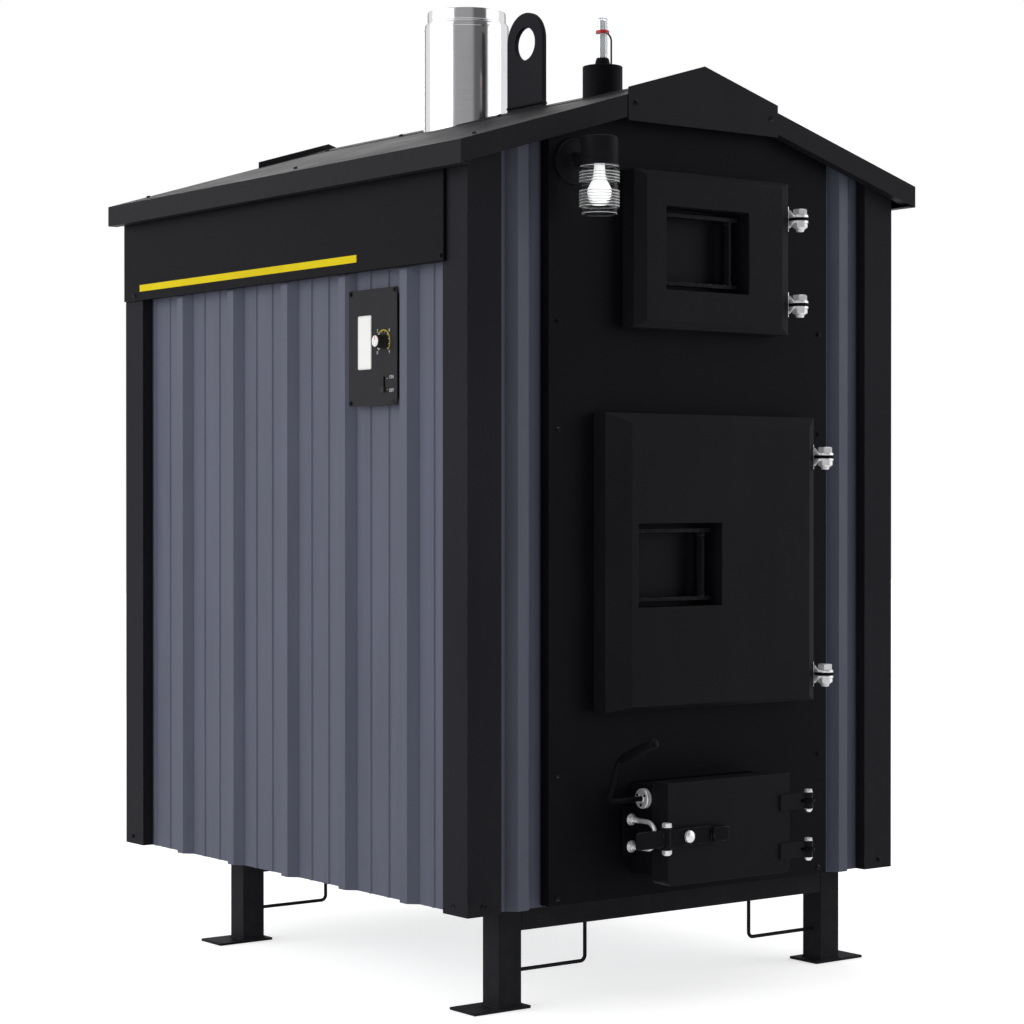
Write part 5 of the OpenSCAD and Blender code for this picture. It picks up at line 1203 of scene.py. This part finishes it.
def makeDisplay():
    plate = {"corner": 4, "thick": 1.4, "ease": 0.5, "rimIn": 4, "rimCorner": 3, "rim": 0.6}
    x0, x1, y0, y1, z0, z1 = boxMm("control_display")
    centre = at(leftFace, (y0 + y1) / 2, (z0 + z1) / 2)
    wide, high, inset = y1 - y0, z1 - z0, plate["rimIn"]
    bm = bmesh.new()
    outline = roundedOutline(centre, outward, wide, high, plate["corner"])
    addPlate(bm, outline, (-1, 0, 0), plate["thick"], plate["ease"])
    edge = roundedOutline(centre - rightward * plate["thick"] / 1000, outward, wide - inset, high - inset,
                          plate["rimCorner"])
    addRope(bm, edge, plate["rim"], 8)
    dress("displayPlate", bm, "control_display", "whitePlastic", 40)


def makePrint():
    arc = {"r": 23.0, "width": 2.0, "start": 225, "sweep": 270, "steps": 40, "warm": 14}
    label = {"marks": 9, "each": 3, "across": 31, "up": 32, "height": 10, "left": 27}
    ink = ((-1, 0, 0), 0.2, 0.02)
    y, z = middleOf("thermostat_knob")[1:]
    dial = (leftFace, y, z)
    inner, outer = arc["r"], arc["r"] + arc["width"]
    white, yellow = bmesh.new(), bmesh.new()
    turns = [math.radians(arc["start"] - arc["sweep"] * k / arc["steps"]) for k in range(arc["steps"] + 1)]
    for i, (a0, a1) in enumerate(zip(turns, turns[1:])):  # the scale round the knob, its hot end yellow
        corners = ((inner, a0), (outer, a0), (outer, a1), (inner, a1))
        spots = [(-r * math.cos(a), r * math.sin(a)) for r, a in corners]
        addPatch(yellow if i >= arc["warm"] else white, dial, spots, *ink)
    turns = [math.radians(arc["start"] - arc["sweep"] * k / label["marks"]) for k in range(label["marks"] + 1)]
    for a in turns:
        spots = [(w * math.sin(a) - r * math.cos(a), r * math.sin(a) + w * math.cos(a))
                 for r, w in oblong(19, 22.4, -0.5, 0.5)]
        addPatch(white, dial, spots, *ink)
    height = label["height"]
    texts = [wallText(str(k), y - label["across"] * math.cos(turns[k]), z + label["up"] * math.sin(turns[k]), height)
             for k in range(0, label["marks"] + 1, label["each"])]
    y, z = middleOf("power_switch")[1:]
    for words, rise in (("ON", 25), ("OFF", -3)):
        texts.append(wallText(words, y - label["left"], z + rise, height))
    for rise in (-0.5, 22):
        addPatch(white, (leftFace, y, z + rise), oblong(-9.5, -12.5, -0.4, 0.6), *ink)
    texts.append(toMesh("dialWhite", white))
    settle("panelPrint", joinMeshes("panelPrint", texts), "cabinet", "whitePrint", (), 30)
    settle("dialArc", yellow, "cabinet", "stripePaint", (), 30)


makeKnob()
makeSwitch()
makeDisplay()
makePrint()
print("controls made")


# floor, grey walls, world and lamps
def backdropRays(tree):  # the rays that see the white background
    path = addNode(tree, "LightPath").outputs
    sharp = mathNode(tree, "MAXIMUM", path["Is Glossy Ray"], path["Is Transmission Ray"])
    return mathNode(tree, "MAXIMUM", path["Is Camera Ray"], sharp)


def makeGreyWall():  # the studio's grey walls, which the polished pipe reflects
    wall = {"radius": 9.0, "front": (196, 316), "rear": (22, 92), "low": 0.1, "high": 13.0, "steps": 24,
            "tone": 0.36, "dark": (-110, -104), "darker": -0.68, "light": (-68, -46), "lighter": 2.3,
            "frontEnd": (-0.3, -0.2)}
    bm = bmesh.new()
    for start, end in (wall["front"], wall["rear"]):
        rows = []
        for k in range(wall["steps"] + 1):
            angle = math.radians(start + (end - start) * k / wall["steps"])
            x, y = wall["radius"] * math.cos(angle), wall["radius"] * math.sin(angle)
            rows.append([bm.verts.new((x, y, z)) for z in (wall["low"], wall["high"])])
        for a, b in zip(rows, rows[1:]):
            bm.faces.new((a[0], b[0], b[1], a[1]))
    grey = addObject("greyWall", plainMesh("greyWall", bm))
    fixed = {"Roughness": 0.95, "Specular IOR Level": 0.0, "Base Color": (0.02, 0.02, 0.02, 1)}
    material, tree, surface = newMaterial("greyWall", fixed)
    place = addNode(tree, "TexCoord").outputs["Object"]
    tone = rangeNode(tree, noiseNode(tree, place, 0.4, 3.0), 0.3, 0.7)
    c = wall["tone"]
    link(tree, blendColour(tree, tone, (c, c, c), (c * 1.1, c * 1.1, c * 1.1)), surface["Emission Color"])
    # the front wall darkens towards its right part and ends in a soft light edge
    split = splitNode(tree, place)
    angle = mathNode(tree, "ARCTAN2", split["Y"], split["X"])
    dark, light = (rangeNode(tree, angle, *map(math.radians, wall[key])) for key in ("dark", "light"))
    change = plus(tree, times(tree, dark, wall["darker"]), times(tree, light, wall["lighter"]))
    front = rangeNode(tree, angle, *wall["frontEnd"], 1.0, 0.0)
    link(tree, plus(tree, times(tree, change, front), 1.0), surface["Emission Strength"])
    grey.data.materials.append(material)
    grey.visible_camera = grey.visible_transmission = False


def makeFloor():
    ground = {"size": 40.0, "level": -0.0005, "colour": 0.80, "lift": 0.55}
    bm = bmesh.new()
    bmesh.ops.create_grid(bm, x_segments=2, y_segments=2, size=ground["size"] / 2)
    floor = addObject("studioFloor", plainMesh("studioFloor", bm))
    floor.location.z = ground["level"]
    fixed = {"Roughness": 0.95, "Specular IOR Level": 0.05, "Emission Color": (1, 1, 1, 1)}
    material, tree, surface = newMaterial("studioFloor", fixed)
    place = addNode(tree, "TexCoord").outputs["Object"]
    tone = rangeNode(tree, noiseNode(tree, place, 1.3, 4.0), 0.2, 0.8)
    c = ground["colour"]
    link(tree, blendColour(tree, tone, (c, c, c), (c + 0.01, c + 0.01, c + 0.01)), surface["Base Color"])
    link(tree, times(tree, backdropRays(tree), ground["lift"]), surface["Emission Strength"])
    floor.data.materials.append(material)


def makeWorld():
    sky = {"strength": 0.95}  # for the rays that light the pieces
    world = bpy.data.worlds.new("studio")
    bpy.context.scene.world = world
    world.use_nodes = True
    tree = world.node_tree
    background = tree.nodes["Background"].inputs
    background["Color"].default_value = (1, 1, 1, 1)
    link(tree, rangeNode(tree, backdropRays(tree), 0.0, 1.0, sky["strength"], 1.0), background["Strength"])


def addLamp(name, place, target, size, power):
    data = bpy.data.lights.new(name, "AREA")
    data.shape = "RECTANGLE"
    data.size, data.size_y = size
    data.energy = power
    lamp = addObject(name, data)
    lamp.location = place
    lamp.rotation_euler = (Vector(target) - Vector(place)).to_track_quat("-Z", "Y").to_euler()


makeFloor()
makeWorld()
makeGreyWall()
lamps = {
    "keyLamp": {"place": (-6.4, 2.6, 3.2), "target": (0, 0, 1.1), "size": (10.5, 4.5), "power": 215},
    "fillLamp": {"place": (5.7, -5.2, 3.0), "target": (0, 0, 1.1), "size": (6.5, 5.0), "power": 130},
    "rearLamp": {"place": (3.5, 6.0, 4.0), "target": (0, 0, 1.2), "size": (3.5, 3.5), "power": 90},
}
for lampName, lampValues in lamps.items():
    addLamp(lampName, **lampValues)
settings = bpy.context.scene.view_settings
settings.view_transform = "Standard"
print("stage and lamps made")
